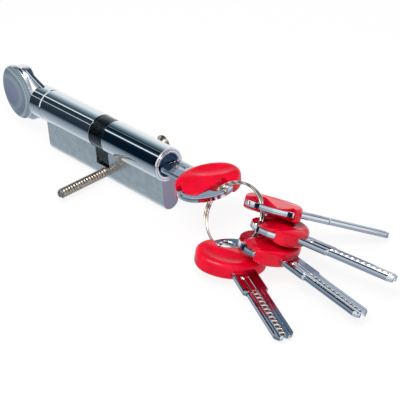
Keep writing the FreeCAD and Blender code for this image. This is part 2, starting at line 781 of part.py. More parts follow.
def key_places():
    """The placement of the key in the lock and of each loose key, threaded on the ring."""
    first = Placement(Vector(value("key_side_length + neck_blade_length + 2*running_gap"), 0, 0), Rotation())
    middle = ring_middle(first)
    places = [first]
    for name, (on_ring, yaw, pitch, roll) in LOOSE_KEYS.items():
        turn = Placement(Vector(), Rotation(yaw, pitch, roll))
        off = Vector(value(name + "_key_along"), value(name + "_key_side"), 0)
        hole = middle + ring_spoke(on_ring) * value("ring_radius") + turn.multVec(off)
        places.append(Placement(hole - hole_place(turn), turn.Rotation))
    return places


def make_keys():
    """Five keys from one template: blank and cap are a node each."""
    blank, cap = key_template()
    for number, place in enumerate(key_places(), start=1):
        for source, name in ((blank, "key_blank_%d"), (cap, "key_cap_%d")):
            copy = doc.addObject("PartDesign::Body", (name % number) + "_body")
            base = doc.addObject("PartDesign::FeatureBase", (name % number) + "_source")
            base.BaseFeature = source
            copy.Group, copy.Tip = [base], base
            copy.Placement = place
            node(copy, name % number)


def make_ring():
    """The split ring: one unbroken wire, flat over one half turn at each end and climbing a turn between."""
    radius, wire = value("ring_radius"), value("ring_wire")
    pitch = wire + value("ring_turn_gap")
    extra = math.radians(value("ring_overlap"))

    def at(angle, height):
        return Vector(radius * math.cos(angle), radius * math.sin(angle), height)

    low, high = -pitch / 2, pitch / 2
    edges = [
        Part.Arc(at(-extra, low), at(math.pi / 2 - extra / 2, low), at(math.pi, low)),
        Part.Arc(at(math.pi, low), at(3 * math.pi / 2, 0), at(2 * math.pi, high)),
        Part.Arc(at(0, high), at(math.pi / 2, high), at(math.pi + extra, high)),
    ]
    path = Part.Wire([edge.toShape() for edge in edges])
    start = at(-extra, low)
    heading = Vector(math.sin(extra), math.cos(extra), 0)
    section = Part.Wire([Part.Circle(start, heading, wire / 2).toShape()])
    ring = doc.addObject("Part::Feature", "ring_wire_coil")
    ring.Shape = path.makePipeShell([section], True, False)
    expected = math.pi * wire * wire / 4 * path.Length
    print("ring: volume %.1f, section times length %.1f mm3" % (ring.Shape.Volume, expected))
    print("ring: least gap between turns %.2f mm" % (pitch * (1 + math.cos(extra)) / 2 - wire))
    axis, level, rise = ring_axes()
    turn = Rotation(level, rise, axis, "ZXY")
    first = key_places()[0]
    ring.Placement = Placement(ring_middle(first), turn)
    node(ring, "split_ring")


def check_and_write():
    """Stop if anything failed, then write one file for each node."""
    doc.recompute()
    bad = [item.Name for item in doc.Objects if {"Invalid", "Error"} & set(item.State)]
    if bad:
        raise RuntimeError("failed objects: " + ", ".join(bad))
    os.makedirs("parts", exist_ok=True)
    for item in NODES:
        if item.Shape.isNull() or not item.Shape.isValid() or item.Shape.Volume <= 0:
            raise RuntimeError("bad shape: " + item.Label)
        item.Shape.exportStep("parts/%s.step" % item.Label)
        print("%-18s solids %d volume %9.2f" % (item.Label, len(item.Shape.Solids), item.Shape.Volume))


make_housing()
make_plug()
make_spindle()
make_cam()
make_coupler_and_clips()
make_pins()
make_knob()
make_fixing_screw()
make_keys()
make_ring()
check_and_write()
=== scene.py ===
"""Looks for the profile lock cylinder: plated case, black cam, long screw, thumb knob and capped keys.

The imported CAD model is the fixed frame. Lengths in the classes are millimetres and turn to metres in a mesh.
"""

from __future__ import annotations

import json
import logging
from collections.abc import Callable
from dataclasses import dataclass, field
from enum import Enum

import bmesh
import bpy
import numpy as np
from mathutils import Matrix, Vector

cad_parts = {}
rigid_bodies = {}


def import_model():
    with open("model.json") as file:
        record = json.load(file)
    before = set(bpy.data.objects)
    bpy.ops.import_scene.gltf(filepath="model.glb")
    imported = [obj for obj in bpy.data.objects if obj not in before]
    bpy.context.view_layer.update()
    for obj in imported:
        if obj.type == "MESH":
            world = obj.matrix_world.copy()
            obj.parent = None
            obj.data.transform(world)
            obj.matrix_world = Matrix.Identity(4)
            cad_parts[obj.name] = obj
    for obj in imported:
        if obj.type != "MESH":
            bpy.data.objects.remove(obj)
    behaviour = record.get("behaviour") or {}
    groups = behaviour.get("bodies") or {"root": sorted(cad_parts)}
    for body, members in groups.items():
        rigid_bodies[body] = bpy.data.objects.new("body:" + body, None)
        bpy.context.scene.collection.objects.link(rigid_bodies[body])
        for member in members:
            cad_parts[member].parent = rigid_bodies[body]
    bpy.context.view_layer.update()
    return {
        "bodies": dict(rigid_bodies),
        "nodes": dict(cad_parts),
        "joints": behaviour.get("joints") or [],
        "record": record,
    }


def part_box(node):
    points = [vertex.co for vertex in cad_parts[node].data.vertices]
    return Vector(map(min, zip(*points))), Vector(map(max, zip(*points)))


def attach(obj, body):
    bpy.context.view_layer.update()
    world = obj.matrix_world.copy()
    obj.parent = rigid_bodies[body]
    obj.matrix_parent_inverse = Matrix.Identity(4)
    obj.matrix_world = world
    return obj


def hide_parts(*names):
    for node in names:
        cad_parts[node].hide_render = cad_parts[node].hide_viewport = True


LOG = logging.getLogger("lock_cylinder")
MM = 0.001
TURN = 2 * np.pi
# How often a ray's interval is halved, and how many long half axes lie outside an oval from any point in it.
HALVINGS, OUTSIDE = 40, 2.5
# Points nearer than these, in metres, are one: in a piece made here, and in a copy of a CAD node.
MERGE_OWN, MERGE_CAD = 1e-7, 2e-6
# A square root's least argument, in square millimetres.
LEAST_SQUARE = 0.01
Pair = tuple[np.ndarray, np.ndarray]
Stops = tuple[tuple[float, str], ...]
Line = tuple[tuple[float, float], ...]


class Side(Enum):
    """The knob's two arms, each with the sign of its height."""

    UPPER = 1
    LOWER = -1


def linear(hex_code: str) -> tuple[float, float, float, float]:
    """Turn an sRGB hex colour to linear light, by the standard's straight toe and its power of 2.4.

    Args:
        hex_code: Six hex digits after a hash sign.

    Returns:
        Red, green, blue and an alpha of 1.
    """
    parts = np.array([int(hex_code[i : i + 2], 16) for i in (1, 3, 5)]) / 255
    light = np.where(parts <= 0.04045, parts / 12.92, ((parts + 0.055) / 1.055) ** 2.4)
    return (*[float(c) for c in light], 1.0)


def feed(tree: bpy.types.NodeTree, node: bpy.types.Node, inputs: dict) -> None:
    """Give a node's sockets their values, or link them to what feeds them.

    Args:
        tree: The node tree.
        node: The node.
        inputs: Socket names or numbers, each with a value or with the socket that feeds it.
    """
    for socket, given in inputs.items():
        if isinstance(given, bpy.types.NodeSocket):
            tree.links.new(given, node.inputs[socket])
        else:
            node.inputs[socket].default_value = given


def add_node(
    tree: bpy.types.NodeTree, kind: str, inputs: dict | None = None, stops: Stops = (), **settings: object
) -> bpy.types.Node:
    """Add a shader node with its settings and links.

    Args:
        tree: The node tree that gets the node.
        kind: The node's type after "ShaderNode".
        inputs: Socket names or numbers, each with a value or with the socket that feeds it.
        stops: A colour ramp's places from 0 to 1, each with its hex colour.
        settings: The node's own properties.

    Returns:
        The new node.
    """
    node = tree.nodes.new("ShaderNode" + kind)
    for key, setting in settings.items():
        setattr(node, key, setting)
    feed(tree, node, inputs or {})
    for number, (place, colour) in enumerate(stops):
        elements = node.color_ramp.elements
        element = elements[number] if number < len(elements) else elements.new(place)
        element.position, element.color = place, linear(colour)
    return node


def new_material(name: str) -> tuple[bpy.types.Material, bpy.types.NodeTree, bpy.types.Node]:
    """Start a material that has only its shader and output.

    Args:
        name: The real material and how its surface was made.

    Returns:
        The material, its node tree and its principled shader.
    """
    material = bpy.data.materials.new(name)
    material.use_nodes = True
    tree = material.node_tree
    return material, tree, tree.nodes["Principled BSDF"]


def circle(count: int) -> np.ndarray:
    """Angles at even steps round one turn, without its end."""
    return np.linspace(0, TURN, count, endpoint=False)


def step(distance: np.ndarray, soft: float) -> np.ndarray:
    """A smooth step from 0 to 1 at distance 0: one over one plus e to the minus distance over soft."""
    return 1 / (1 + np.exp(-distance / soft))


def about_x(x: np.ndarray, radius: np.ndarray, angle: np.ndarray) -> np.ndarray:
    """A grid of points at places along X, with Y the radius times the cosine and Z the radius times the sine.

    Args:
        x: Places along X.
        radius: Distances from it.
        angle: Angles about it, from +Y towards +Z.

    Returns:
        The grid, with the three coordinates last.
    """
    return np.stack(np.broadcast_arrays(x, radius * np.cos(angle), radius * np.sin(angle)), axis=2)


def ray_reach(inside: Callable[[np.ndarray], np.ndarray], angle: np.ndarray, far: float) -> np.ndarray:
    """How far rays run before they leave an outline, by halving each ray's interval.

    Args:
        inside: Tells for one distance on each ray whether it lies inside.
        angle: The rays' directions.
        far: A distance outside on every ray.

    Returns:
        The distances.
    """
    near, beyond = np.zeros_like(angle), np.full_like(angle, far)
    for _ in range(HALVINGS):
        half = (near + beyond) / 2
        held = inside(half)
        near, beyond = np.where(held, half, near), np.where(held, beyond, half)
    return near


def grid_faces(rows: int, columns: int, round_rows: bool, round_columns: bool) -> np.ndarray:
    """Quads between neighbouring points of a grid that is stored row by row.

    Args:
        rows: How many rows.
        columns: How many points in a row.
        round_rows: Whether the last row meets the first.
        round_columns: Whether a row's last point meets its first.

    Returns:
        One row of four point numbers for each quad.
    """
    counts = (rows if round_rows else rows - 1, columns if round_columns else columns - 1)
    i, j = (numbers.ravel() for numbers in np.meshgrid(*map(np.arange, counts), indexing="ij"))
    down, right = (i + 1) % rows, (j + 1) % columns
    quads = [i * columns + j, down * columns + j, down * columns + right, i * columns + right]
    return np.stack(quads, axis=1)


def finish_piece(
    name: str, mesh: bpy.types.Mesh, merge: float, sharp: float, turn_out: bool
) -> bpy.types.Object:
    """Merge a mesh's double points, shade it smooth but for its sharp edges and link it.

    Args:
        name: The piece's name.
        mesh: The mesh.
        merge: Points nearer than this many metres become one.
        sharp: Edges that turn by more degrees than this stay sharp.
        turn_out: Whether its faces have to be turned outwards.

    Returns:
        The piece.
    """
    body = bmesh.new()
    body.from_mesh(mesh)
    bmesh.ops.remove_doubles(body, verts=body.verts, dist=merge)
    if turn_out:
        bmesh.ops.recalc_face_normals(body, faces=body.faces)
    body.to_mesh(mesh)
    body.free()
    flat_normals = mesh.attributes.get("custom_normal")
    if flat_normals:
        mesh.attributes.remove(flat_normals)
    mesh.shade_smooth()
    mesh.set_sharp_from_angle(angle=float(np.radians(sharp)))
    piece = bpy.data.objects.new(name, mesh)
    bpy.context.scene.collection.objects.link(piece)
    return piece


def make_piece(name: str, points: np.ndarray, faces: np.ndarray, sharp: float) -> bpy.types.Object:
    """Put points and quads into a closed, smooth piece with its faces outwards.

    Args:
        name: The piece's name.
        points: Places in millimetres, the three coordinates last.
        faces: Point numbers, one row for each quad.
        sharp: Edges that turn by more degrees than this stay sharp.

    Returns:
        The piece, linked to the scene.
    """
    mesh = bpy.data.meshes.new(name)
    mesh.from_pydata((points.reshape(-1, 3) * MM).tolist(), [], faces.tolist())
    return finish_piece(name, mesh, MERGE_OWN, sharp, True)


def smooth_copy(frame: dict, node: str, name: str, sharp: float) -> bpy.types.Object:
    """Copy a CAD node, join its loose triangles and shade it smooth.

    Args:
        node: The CAD node.
        name: The copy's name.
        sharp: Edges that turn by more degrees than this stay sharp.

    Returns:
        The copy.
    """
    mesh = frame["nodes"][node].data.copy()
    mesh.materials.clear()
    return finish_piece(name, mesh, MERGE_CAD, sharp, False)


def dress(
    piece: bpy.types.Object, material: bpy.types.Material, body: str, node: str = ""
) -> None:
    """Give a piece its material and body, and hide the CAD node that it stands for where there is one.

    Args:
        piece: The piece.
        material: Its material.
        body: The body that it moves with.
        node: The CAD node that it stands for.
    """
    piece.data.materials.append(material)
    if node:
        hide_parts(node)
    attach(piece, body)
    LOG.info("%s rides on %s and stands for %s", piece.name, body, node or "no node")


@dataclass
class Bunch:
    """How the keys hang on the ring, in the same values as the part's source: millimetres and degrees."""

    first_root: tuple[float, float, float] = (58.1, 0.0, 0.0)
    hole: tuple[float, float] = (19.0, 1.0)
    radius: float = 15.25
    azimuth: float = 3.0
    elevation: float = 38.3
    first_angle: float = 151.4
    seat: tuple[float, float] = (2.15, -1.31)
    # Each loose key's angle on the ring, its yaw, pitch and roll, and how far its hole lies off the wire.
    loose: tuple[tuple[float, ...], ...] = (
        (-66.4, 157.8, -5.0, 10.9, 0.25, 2.54),
        (-19.0, 176.9, -6.9, 22.1, -2.50, -1.63),
        (8.4, 192.0, -5.9, 27.2, -3.12, -1.12),
        (37.6, 235.4, -22.5, 23.3, 0.78, 1.43),
    )

    def spoke(self, angle: float) -> np.ndarray:
        """The direction from the ring's middle to a point on it, in its own tilted plane.

        Args:
            angle: Degrees round the ring from its level direction.

        Returns:
            A unit vector.
        """
        a, e = np.radians([self.azimuth, self.elevation])
        axis = np.array([np.sin(a) * np.cos(e), -np.cos(a) * np.cos(e), np.sin(e)])
        level = np.cross([0.0, 0.0, 1.0], axis)
        level = level / np.linalg.norm(level)
        turn = np.radians(angle)
        return level * np.cos(turn) + np.cross(axis, level) * np.sin(turn)

    def places(self) -> list[Pair]:
        """Each key's turn, by yaw, pitch and roll, and the place of its root.

        Returns:
            The key in the lock first, then the loose ones from the bottom of the bunch up.
        """
        root = np.array(self.first_root)
        middle = root + [self.hole[0] + self.seat[0], self.hole[1] + self.seat[1], 0]
        middle = middle - self.radius * self.spoke(self.first_angle)
        found = [(np.eye(3), root)]
        for on_ring, yaw, pitch, roll, along, side in self.loose:
            y, p, r = np.radians([yaw, pitch, roll])
            about_z = np.array([[np.cos(y), -np.sin(y), 0], [np.sin(y), np.cos(y), 0], [0, 0, 1]])
            about_y = np.array([[np.cos(p), 0, np.sin(p)], [0, 1, 0], [-np.sin(p), 0, np.cos(p)]])
            about_own = np.array([[1, 0, 0], [0, np.cos(r), -np.sin(r)], [0, np.sin(r), np.cos(r)]])
            turn = about_z @ about_y @ about_own
            hole = middle + self.radius * self.spoke(on_ring) + turn @ [along, side, 0]
            found.append((turn, hole - turn @ [*self.hole, 0]))
        return found


@dataclass(frozen=True)
class PlatedCase:
    """Nickel-chrome plate on a brass profile.

    To the eye it is a mirror on the round part and a dull, mottled silver on the milled leg. Its front face
    is painted darker and a little lilac: painted shade and painted reflection.
    """

    bright: str = "#E3E7EC"
    dull: Stops = ((0.35, "#D3D8DB"), (0.65, "#E2E6E8"))
    # The painted shade and lilac painted reflection on the leg's front face.
    front: str = "#ABA6B6"
    front_mm: float = 44.95
    leg_top_mm: float = -6.95
    edge_mm: float = 0.05
    mottle_mm: float = 3.0
    mottle_detail: float = 4.0
    mirror: float = 0.03
    satin: float = 0.22

    def make(self) -> bpy.types.Material:
        """Build the material: the height parts mirror from satin, and the place along the lock finds the leg's
        front face, which gets a painted shade.

        Returns:
            The material.
        """
        material, tree, shader = new_material("nickel_chrome_plate_on_brass")
        place = add_node(tree, "TexCoord").outputs["Object"]
        parts = add_node(tree, "SeparateXYZ", {0: place}).outputs
        leg = add_node(tree, "MapRange", {
            0: parts["Z"],
            "From Min": (self.leg_top_mm + self.edge_mm) * MM,
            "From Max": (self.leg_top_mm - self.edge_mm) * MM,
        }).outputs[0]
        mottle = add_node(tree, "TexNoise", {
            "Vector": place, "Scale": 1 / (self.mottle_mm * MM), "Detail": self.mottle_detail,
        }).outputs[0]
        dull = add_node(tree, "ValToRGB", {0: mottle}, self.dull).outputs[0]
        # The leg's front face gets a darker, lilac colour: painted shade and painted reflection.
        is_front = {0: parts["X"], 1: self.front_mm * MM}
        front = add_node(tree, "Math", is_front, operation="GREATER_THAN").outputs[0]
        leg_tone_with_painted_front_shade = add_node(tree, "Mix", {0: front, 6: dull, 7: linear(self.front)}, data_type="RGBA").outputs[2]
        tones = {0: leg, 6: linear(self.bright), 7: leg_tone_with_painted_front_shade}
        colour = add_node(tree, "Mix", tones, data_type="RGBA").outputs[2]
        rough = add_node(tree, "MapRange", {0: leg, "To Min": self.mirror, "To Max": self.satin}).outputs[0]
        feed(tree, shader, {"Base Color": colour, "Roughness": rough, "Metallic": 1.0})
        return material


@dataclass(frozen=True)
class PolishedMetal:
    """A polished or turned metal with the faint wear clouds that handling leaves."""

    name: str
    light: str
    dark: str
    smooth: float
    worn: float
    cloud_mm: float = 4.0
    cloud_detail: float = 3.0
    dark_stop: float = 0.3
    light_stop: float = 0.7

    def make(self) -> bpy.types.Material:
        """Build the material: noise moves colour and roughness a little.

        Returns:
            The material.
        """
        material, tree, shader = new_material(self.name)
        place = add_node(tree, "TexCoord").outputs["Object"]
        cloud = add_node(tree, "TexNoise", {
            "Vector": place, "Scale": 1 / (self.cloud_mm * MM), "Detail": self.cloud_detail,
        }).outputs[0]
        stops = ((self.dark_stop, self.dark), (self.light_stop, self.light))
        colour = add_node(tree, "ValToRGB", {0: cloud}, stops).outputs[0]
        rough = add_node(tree, "MapRange", {0: cloud, "To Min": self.smooth, "To Max": self.worn}).outputs[0]
        feed(tree, shader, {"Base Color": colour, "Roughness": rough, "Metallic": 1.0})
        return material


@dataclass(frozen=True)
class KnobPlate:
    """Nickel-chrome plate: a mirror on collar and arms, buffed on the grip's dished face, which has painted
    reflection bands in soft arcs, one of them a thin painted highlight.
    """

    bright: str = "#E3E7EC"
    face_mm: float = -1.65
    grip_end_mm: float = -58.5
    # The painted reflection bands: their middle, their reach, and their colours by the share of the distance,
    # lilac and grey with a thin painted highlight at 0.665.
    painted_reflection_middle: tuple[float, float, float] = (-79.1, -3.5, -2.1)
    painted_reflection_reach: float = 22.0
    painted_reflection_arcs: Stops = (
        (0.0, "#C2C0D8"), (0.3, "#BDBFD2"), (0.42, "#D3D9DC"), (0.5, "#B4BEC4"), (0.6, "#A7B3B9"),
        (0.665, "#F4F8FA"), (0.71, "#B3BEC4"), (0.8, "#CBD4D9"), (1.0, "#DDE4E8"),
    )
    mirror: float = 0.03
    buffed: float = 0.2

    def make(self) -> bpy.types.Material:
        """Build the material: the place parts the grip's face, which gets painted reflection bands by the
        distance from one point.

        Returns:
            The material.
        """
        material, tree, shader = new_material("nickel_chrome_plate_with_painted_reflection_arcs")
        place = add_node(tree, "TexCoord").outputs["Object"]
        parts = add_node(tree, "SeparateXYZ", {0: place}).outputs
        face, end = (
            add_node(tree, "Math", {0: parts[axis], 1: edge * MM}, operation="LESS_THAN").outputs[0]
            for axis, edge in (("Y", self.face_mm), ("X", self.grip_end_mm))
        )
        grip = add_node(tree, "Math", {0: face, 1: end}, operation="MULTIPLY").outputs[0]
        middle = tuple(c * MM for c in self.painted_reflection_middle)
        away = add_node(tree, "VectorMath", {0: place, 1: middle}, operation="DISTANCE").outputs["Value"]
        share = add_node(tree, "MapRange", {0: away, "From Max": self.painted_reflection_reach * MM}).outputs[0]
        painted_reflection_arcs = add_node(tree, "ValToRGB", {0: share}, self.painted_reflection_arcs).outputs[0]
        tones = {0: grip, 6: linear(self.bright), 7: painted_reflection_arcs}
        colour = add_node(tree, "Mix", tones, data_type="RGBA").outputs[2]
        rough = add_node(tree, "MapRange", {0: grip, "To Min": self.mirror, "To Max": self.buffed}).outputs[0]
        feed(tree, shader, {"Base Color": colour, "Roughness": rough, "Metallic": 1.0})
        return material


@dataclass(frozen=True)
class PlugFace:
    """Nickel-chrome plate on the plug: bright, but for the face inside the rim, which has a painted dark-blue
    reflection.
    """

    bright: str = "#E6E9EE"
    # The colour of the painted dark-blue reflection on the face inside the rim.
    dark: str = "#31445A"
    painted_reflection_radius: float = 6.2
    fade: float = 0.3
    roughness: float = 0.06

    def make(self) -> bpy.types.Material:
        """Build the material: the distance from the plug's axis parts the painted dark reflection from bright.

        Returns:
            The material.
        """
        material, tree, shader = new_material("nickel_chrome_plate_with_painted_dark_reflection")
        place = add_node(tree, "TexCoord").outputs["Object"]
        flat = add_node(tree, "VectorMath", {0: place, 1: (0.0, 1.0, 1.0)}, operation="MULTIPLY").outputs[0]
        radius = add_node(tree, "VectorMath", {0: flat}, operation="LENGTH").outputs["Value"]
        inside = add_node(tree, "MapRange", {
            0: radius, "From Min": self.painted_reflection_radius * MM, "From Max": (self.painted_reflection_radius - self.fade) * MM,
        }).outputs[0]
        # Inside the rim the colour is the painted dark reflection.
        tones = {0: inside, 6: linear(self.bright), 7: linear(self.dark)}
        colour = add_node(tree, "Mix", tones, data_type="RGBA").outputs[2]
        feed(tree, shader, {"Base Color": colour, "Roughness": self.roughness, "Metallic": 1.0})
        return material


@dataclass(frozen=True)
class DrawnWire:
    """Nickel-plated steel wire, drawn and coiled: slanting tool marks in a warm grey.

    The real marks are a few tenths of a millimetre apart. They are drawn at 1.6 mm so that they show. A wave
    texture of scale 1 repeats every 0.314 m along an axis, and its diagonal bands are 1.73 times as close.
    """

    tones: Stops = ((0.2, "#A1968B"), (0.8, "#F2EAE1"))
    mark_mm: float = 1.6
    wave_repeat: float = 0.314
    diagonal: float = 1.73
    unevenness: float = 0.6
    mark_detail: float = 1.0
    dent: float = 0.35
    dent_mm: float = 0.15
    roughness: float = 0.22

    def make(self) -> bpy.types.Material:
        """Build the material: slanting bands darken the metal and dent it a little.

        Returns:
            The material.
        """
        material, tree, shader = new_material("nickel_plated_steel_wire")
        place = add_node(tree, "TexCoord").outputs["Object"]
        scale = self.wave_repeat / (self.mark_mm * MM) / self.diagonal
        marks = add_node(tree, "TexWave", {
            "Vector": place, "Scale": scale, "Distortion": self.unevenness, "Detail": self.mark_detail,
        }, bands_direction="DIAGONAL").outputs["Fac"]
        colour = add_node(tree, "ValToRGB", {0: marks}, self.tones).outputs[0]
        height = {"Height": marks, "Strength": self.dent, "Distance": self.dent_mm * MM}
        normal = add_node(tree, "Bump", height).outputs[0]
        feed(tree, shader, {
            "Base Color": colour, "Normal": normal, "Metallic": 1.0, "Roughness": self.roughness,
        })
        return material


@dataclass(frozen=True)
class KeyMetal:
    """Nickel silver, milled and polished: a mirror, with a painted brass-toned highlight on the dimpled
    track's crests.
    """

    bright: str = "#DDE1E6"
    plate: str = "#A9B3C4"
    # The colour of the painted brass-toned highlight on the track's crests.
    brass: str = "#B98F52"
    dimple_mm: float = 2.6
    track_middle: float = 0.75
    track_half: float = 1.0
    crest_low: float = 0.1
    crest_high: float = 0.6
    dimples_end: float = -11.0
    flat_edge: float = -0.4
    mirror: float = 0.05
    satin: float = 0.12

    def make(self) -> bpy.types.Material:
        """Build the material from the piece's own key_place attribute, in millimetres in the key's frame.

        The place across, times the sign of the height, finds the dimpled track and the flat beside it on both
        faces. A sine along the key finds the track's crests, which get a painted brass-toned highlight.

        Returns:
            The material.
        """
        material, tree, shader = new_material("nickel_silver_polished")
        place = add_node(tree, "Attribute", attribute_name="key_place").outputs["Vector"]
        axes = add_node(tree, "SeparateXYZ", {0: place}).outputs
        along, side, up = (axes[axis] for axis in "XYZ")
        face = add_node(tree, "Math", {0: up}, operation="SIGN").outputs[0]
        across = add_node(tree, "Math", {0: side, 1: face}, operation="MULTIPLY").outputs[0]
        strip = {0: across, 1: self.track_middle, 2: self.track_half}
        track = add_node(tree, "Math", strip, operation="COMPARE").outputs[0]
        wave = add_node(tree, "Math", {0: along, 1: TURN / self.dimple_mm}, operation="MULTIPLY").outputs[0]
        crest = add_node(tree, "Math", {0: wave}, operation="SINE").outputs[0]
        limits = {0: crest, "From Min": self.crest_low, "From Max": self.crest_high}
        # The mask named worn is a painted highlight on the crests, not wear.
        worn = add_node(tree, "MapRange", limits).outputs[0]
        blade = add_node(tree, "Math", {0: along, 1: self.dimples_end}, operation="LESS_THAN").outputs[0]
        for share in (track, blade):
            worn = add_node(tree, "Math", {0: worn, 1: share}, operation="MULTIPLY").outputs[0]
        flat = add_node(tree, "Math", {0: across, 1: self.flat_edge}, operation="LESS_THAN").outputs[0]
        tones = {0: flat, 6: linear(self.bright), 7: linear(self.plate)}
        base = add_node(tree, "Mix", tones, data_type="RGBA").outputs[2]
        colour = add_node(tree, "Mix", {0: worn, 6: base, 7: linear(self.brass)}, data_type="RGBA").outputs[2]
        rough = add_node(tree, "MapRange", {0: flat, "To Min": self.mirror, "To Max": self.satin}).outputs[0]
        feed(tree, shader, {"Base Color": colour, "Roughness": rough, "Metallic": 1.0})
        return material


@dataclass(frozen=True)
class MouldedCap:
    """Injection-moulded ABS in crimson: glossy, with a hardly seen orange-peel from the mould."""

    tones: Stops = ((0.35, "#CE0020"), (0.65, "#E2002C"))
    cloud_mm: float = 6.0
    cloud_detail: float = 2.0
    peel_mm: float = 1.4
    peel_detail: float = 1.0
    peel: float = 0.05
    peel_height_mm: float = 0.1
    roughness: float = 0.22
    ior: float = 1.5
    specular: float = 0.24

    def make(self) -> bpy.types.Material:
        """Build the material: a slow cloud in the colour and a very fine bump.

        Returns:
            The material.
        """
        material, tree, shader = new_material("abs_glossy_crimson_moulded")
        place = add_node(tree, "TexCoord").outputs["Object"]
        cloud, peel = (
            add_node(tree, "TexNoise", {"Vector": place, "Scale": 1 / (mm * MM), "Detail": detail}).outputs[0]
            for mm, detail in ((self.cloud_mm, self.cloud_detail), (self.peel_mm, self.peel_detail))
        )
        colour = add_node(tree, "ValToRGB", {0: cloud}, self.tones).outputs[0]
        height = {"Height": peel, "Strength": self.peel, "Distance": self.peel_height_mm * MM}
        feed(tree, shader, {
            "Base Color": colour, "Normal": add_node(tree, "Bump", height).outputs[0],
            "Roughness": self.roughness, "IOR": self.ior, "Specular IOR Level": self.specular,
        })
        return material


@dataclass
class Oval:
    """A closed oval of four tangent arcs, as the bows and caps have, on the key's own plane."""

    middle: float
    side: float
    long_half: float
    short_half: float
    end_radius: float
    turn: float = 10.0

    def depth(self, x: np.ndarray, y: np.ndarray) -> np.ndarray:
        """How far a point lies inside the edge, from the nearer of the end arc and the side arc.

        Args:
            x: Places along the key.
            y: Places across it.

        Returns:
            The distance to the edge, negative outside.
        """
        side_radius = (self.long_half**2 + self.short_half**2 - 2 * self.long_half * self.end_radius) / (
            2 * (self.short_half - self.end_radius)
        )
        angle = np.radians(90 - self.turn)
        dx, dy = x - self.middle, y - self.side
        u = np.abs(dx * np.cos(angle) + dy * np.sin(angle))
        v = np.abs(-dx * np.sin(angle) + dy * np.cos(angle))
        out, up = self.long_half - self.end_radius, side_radius - self.short_half
        end = self.end_radius - np.hypot(u - out, v)
        flank = side_radius - np.hypot(u, v + up)
        return np.where((u - out) * up > v * out, end, flank)

    def reach(self, x: float, y: float, angle: np.ndarray) -> np.ndarray:
        """How far the edge is from a point inside, along each angle.

        Args:
            x: The point's place along the key.
            y: Its place across.
            angle: Directions in radians.

        Returns:
            The distances.
        """
        return ray_reach(
            lambda away: self.depth(x + away * np.cos(angle), y + away * np.sin(angle)) > 0,
            angle, OUTSIDE * self.long_half,
        )


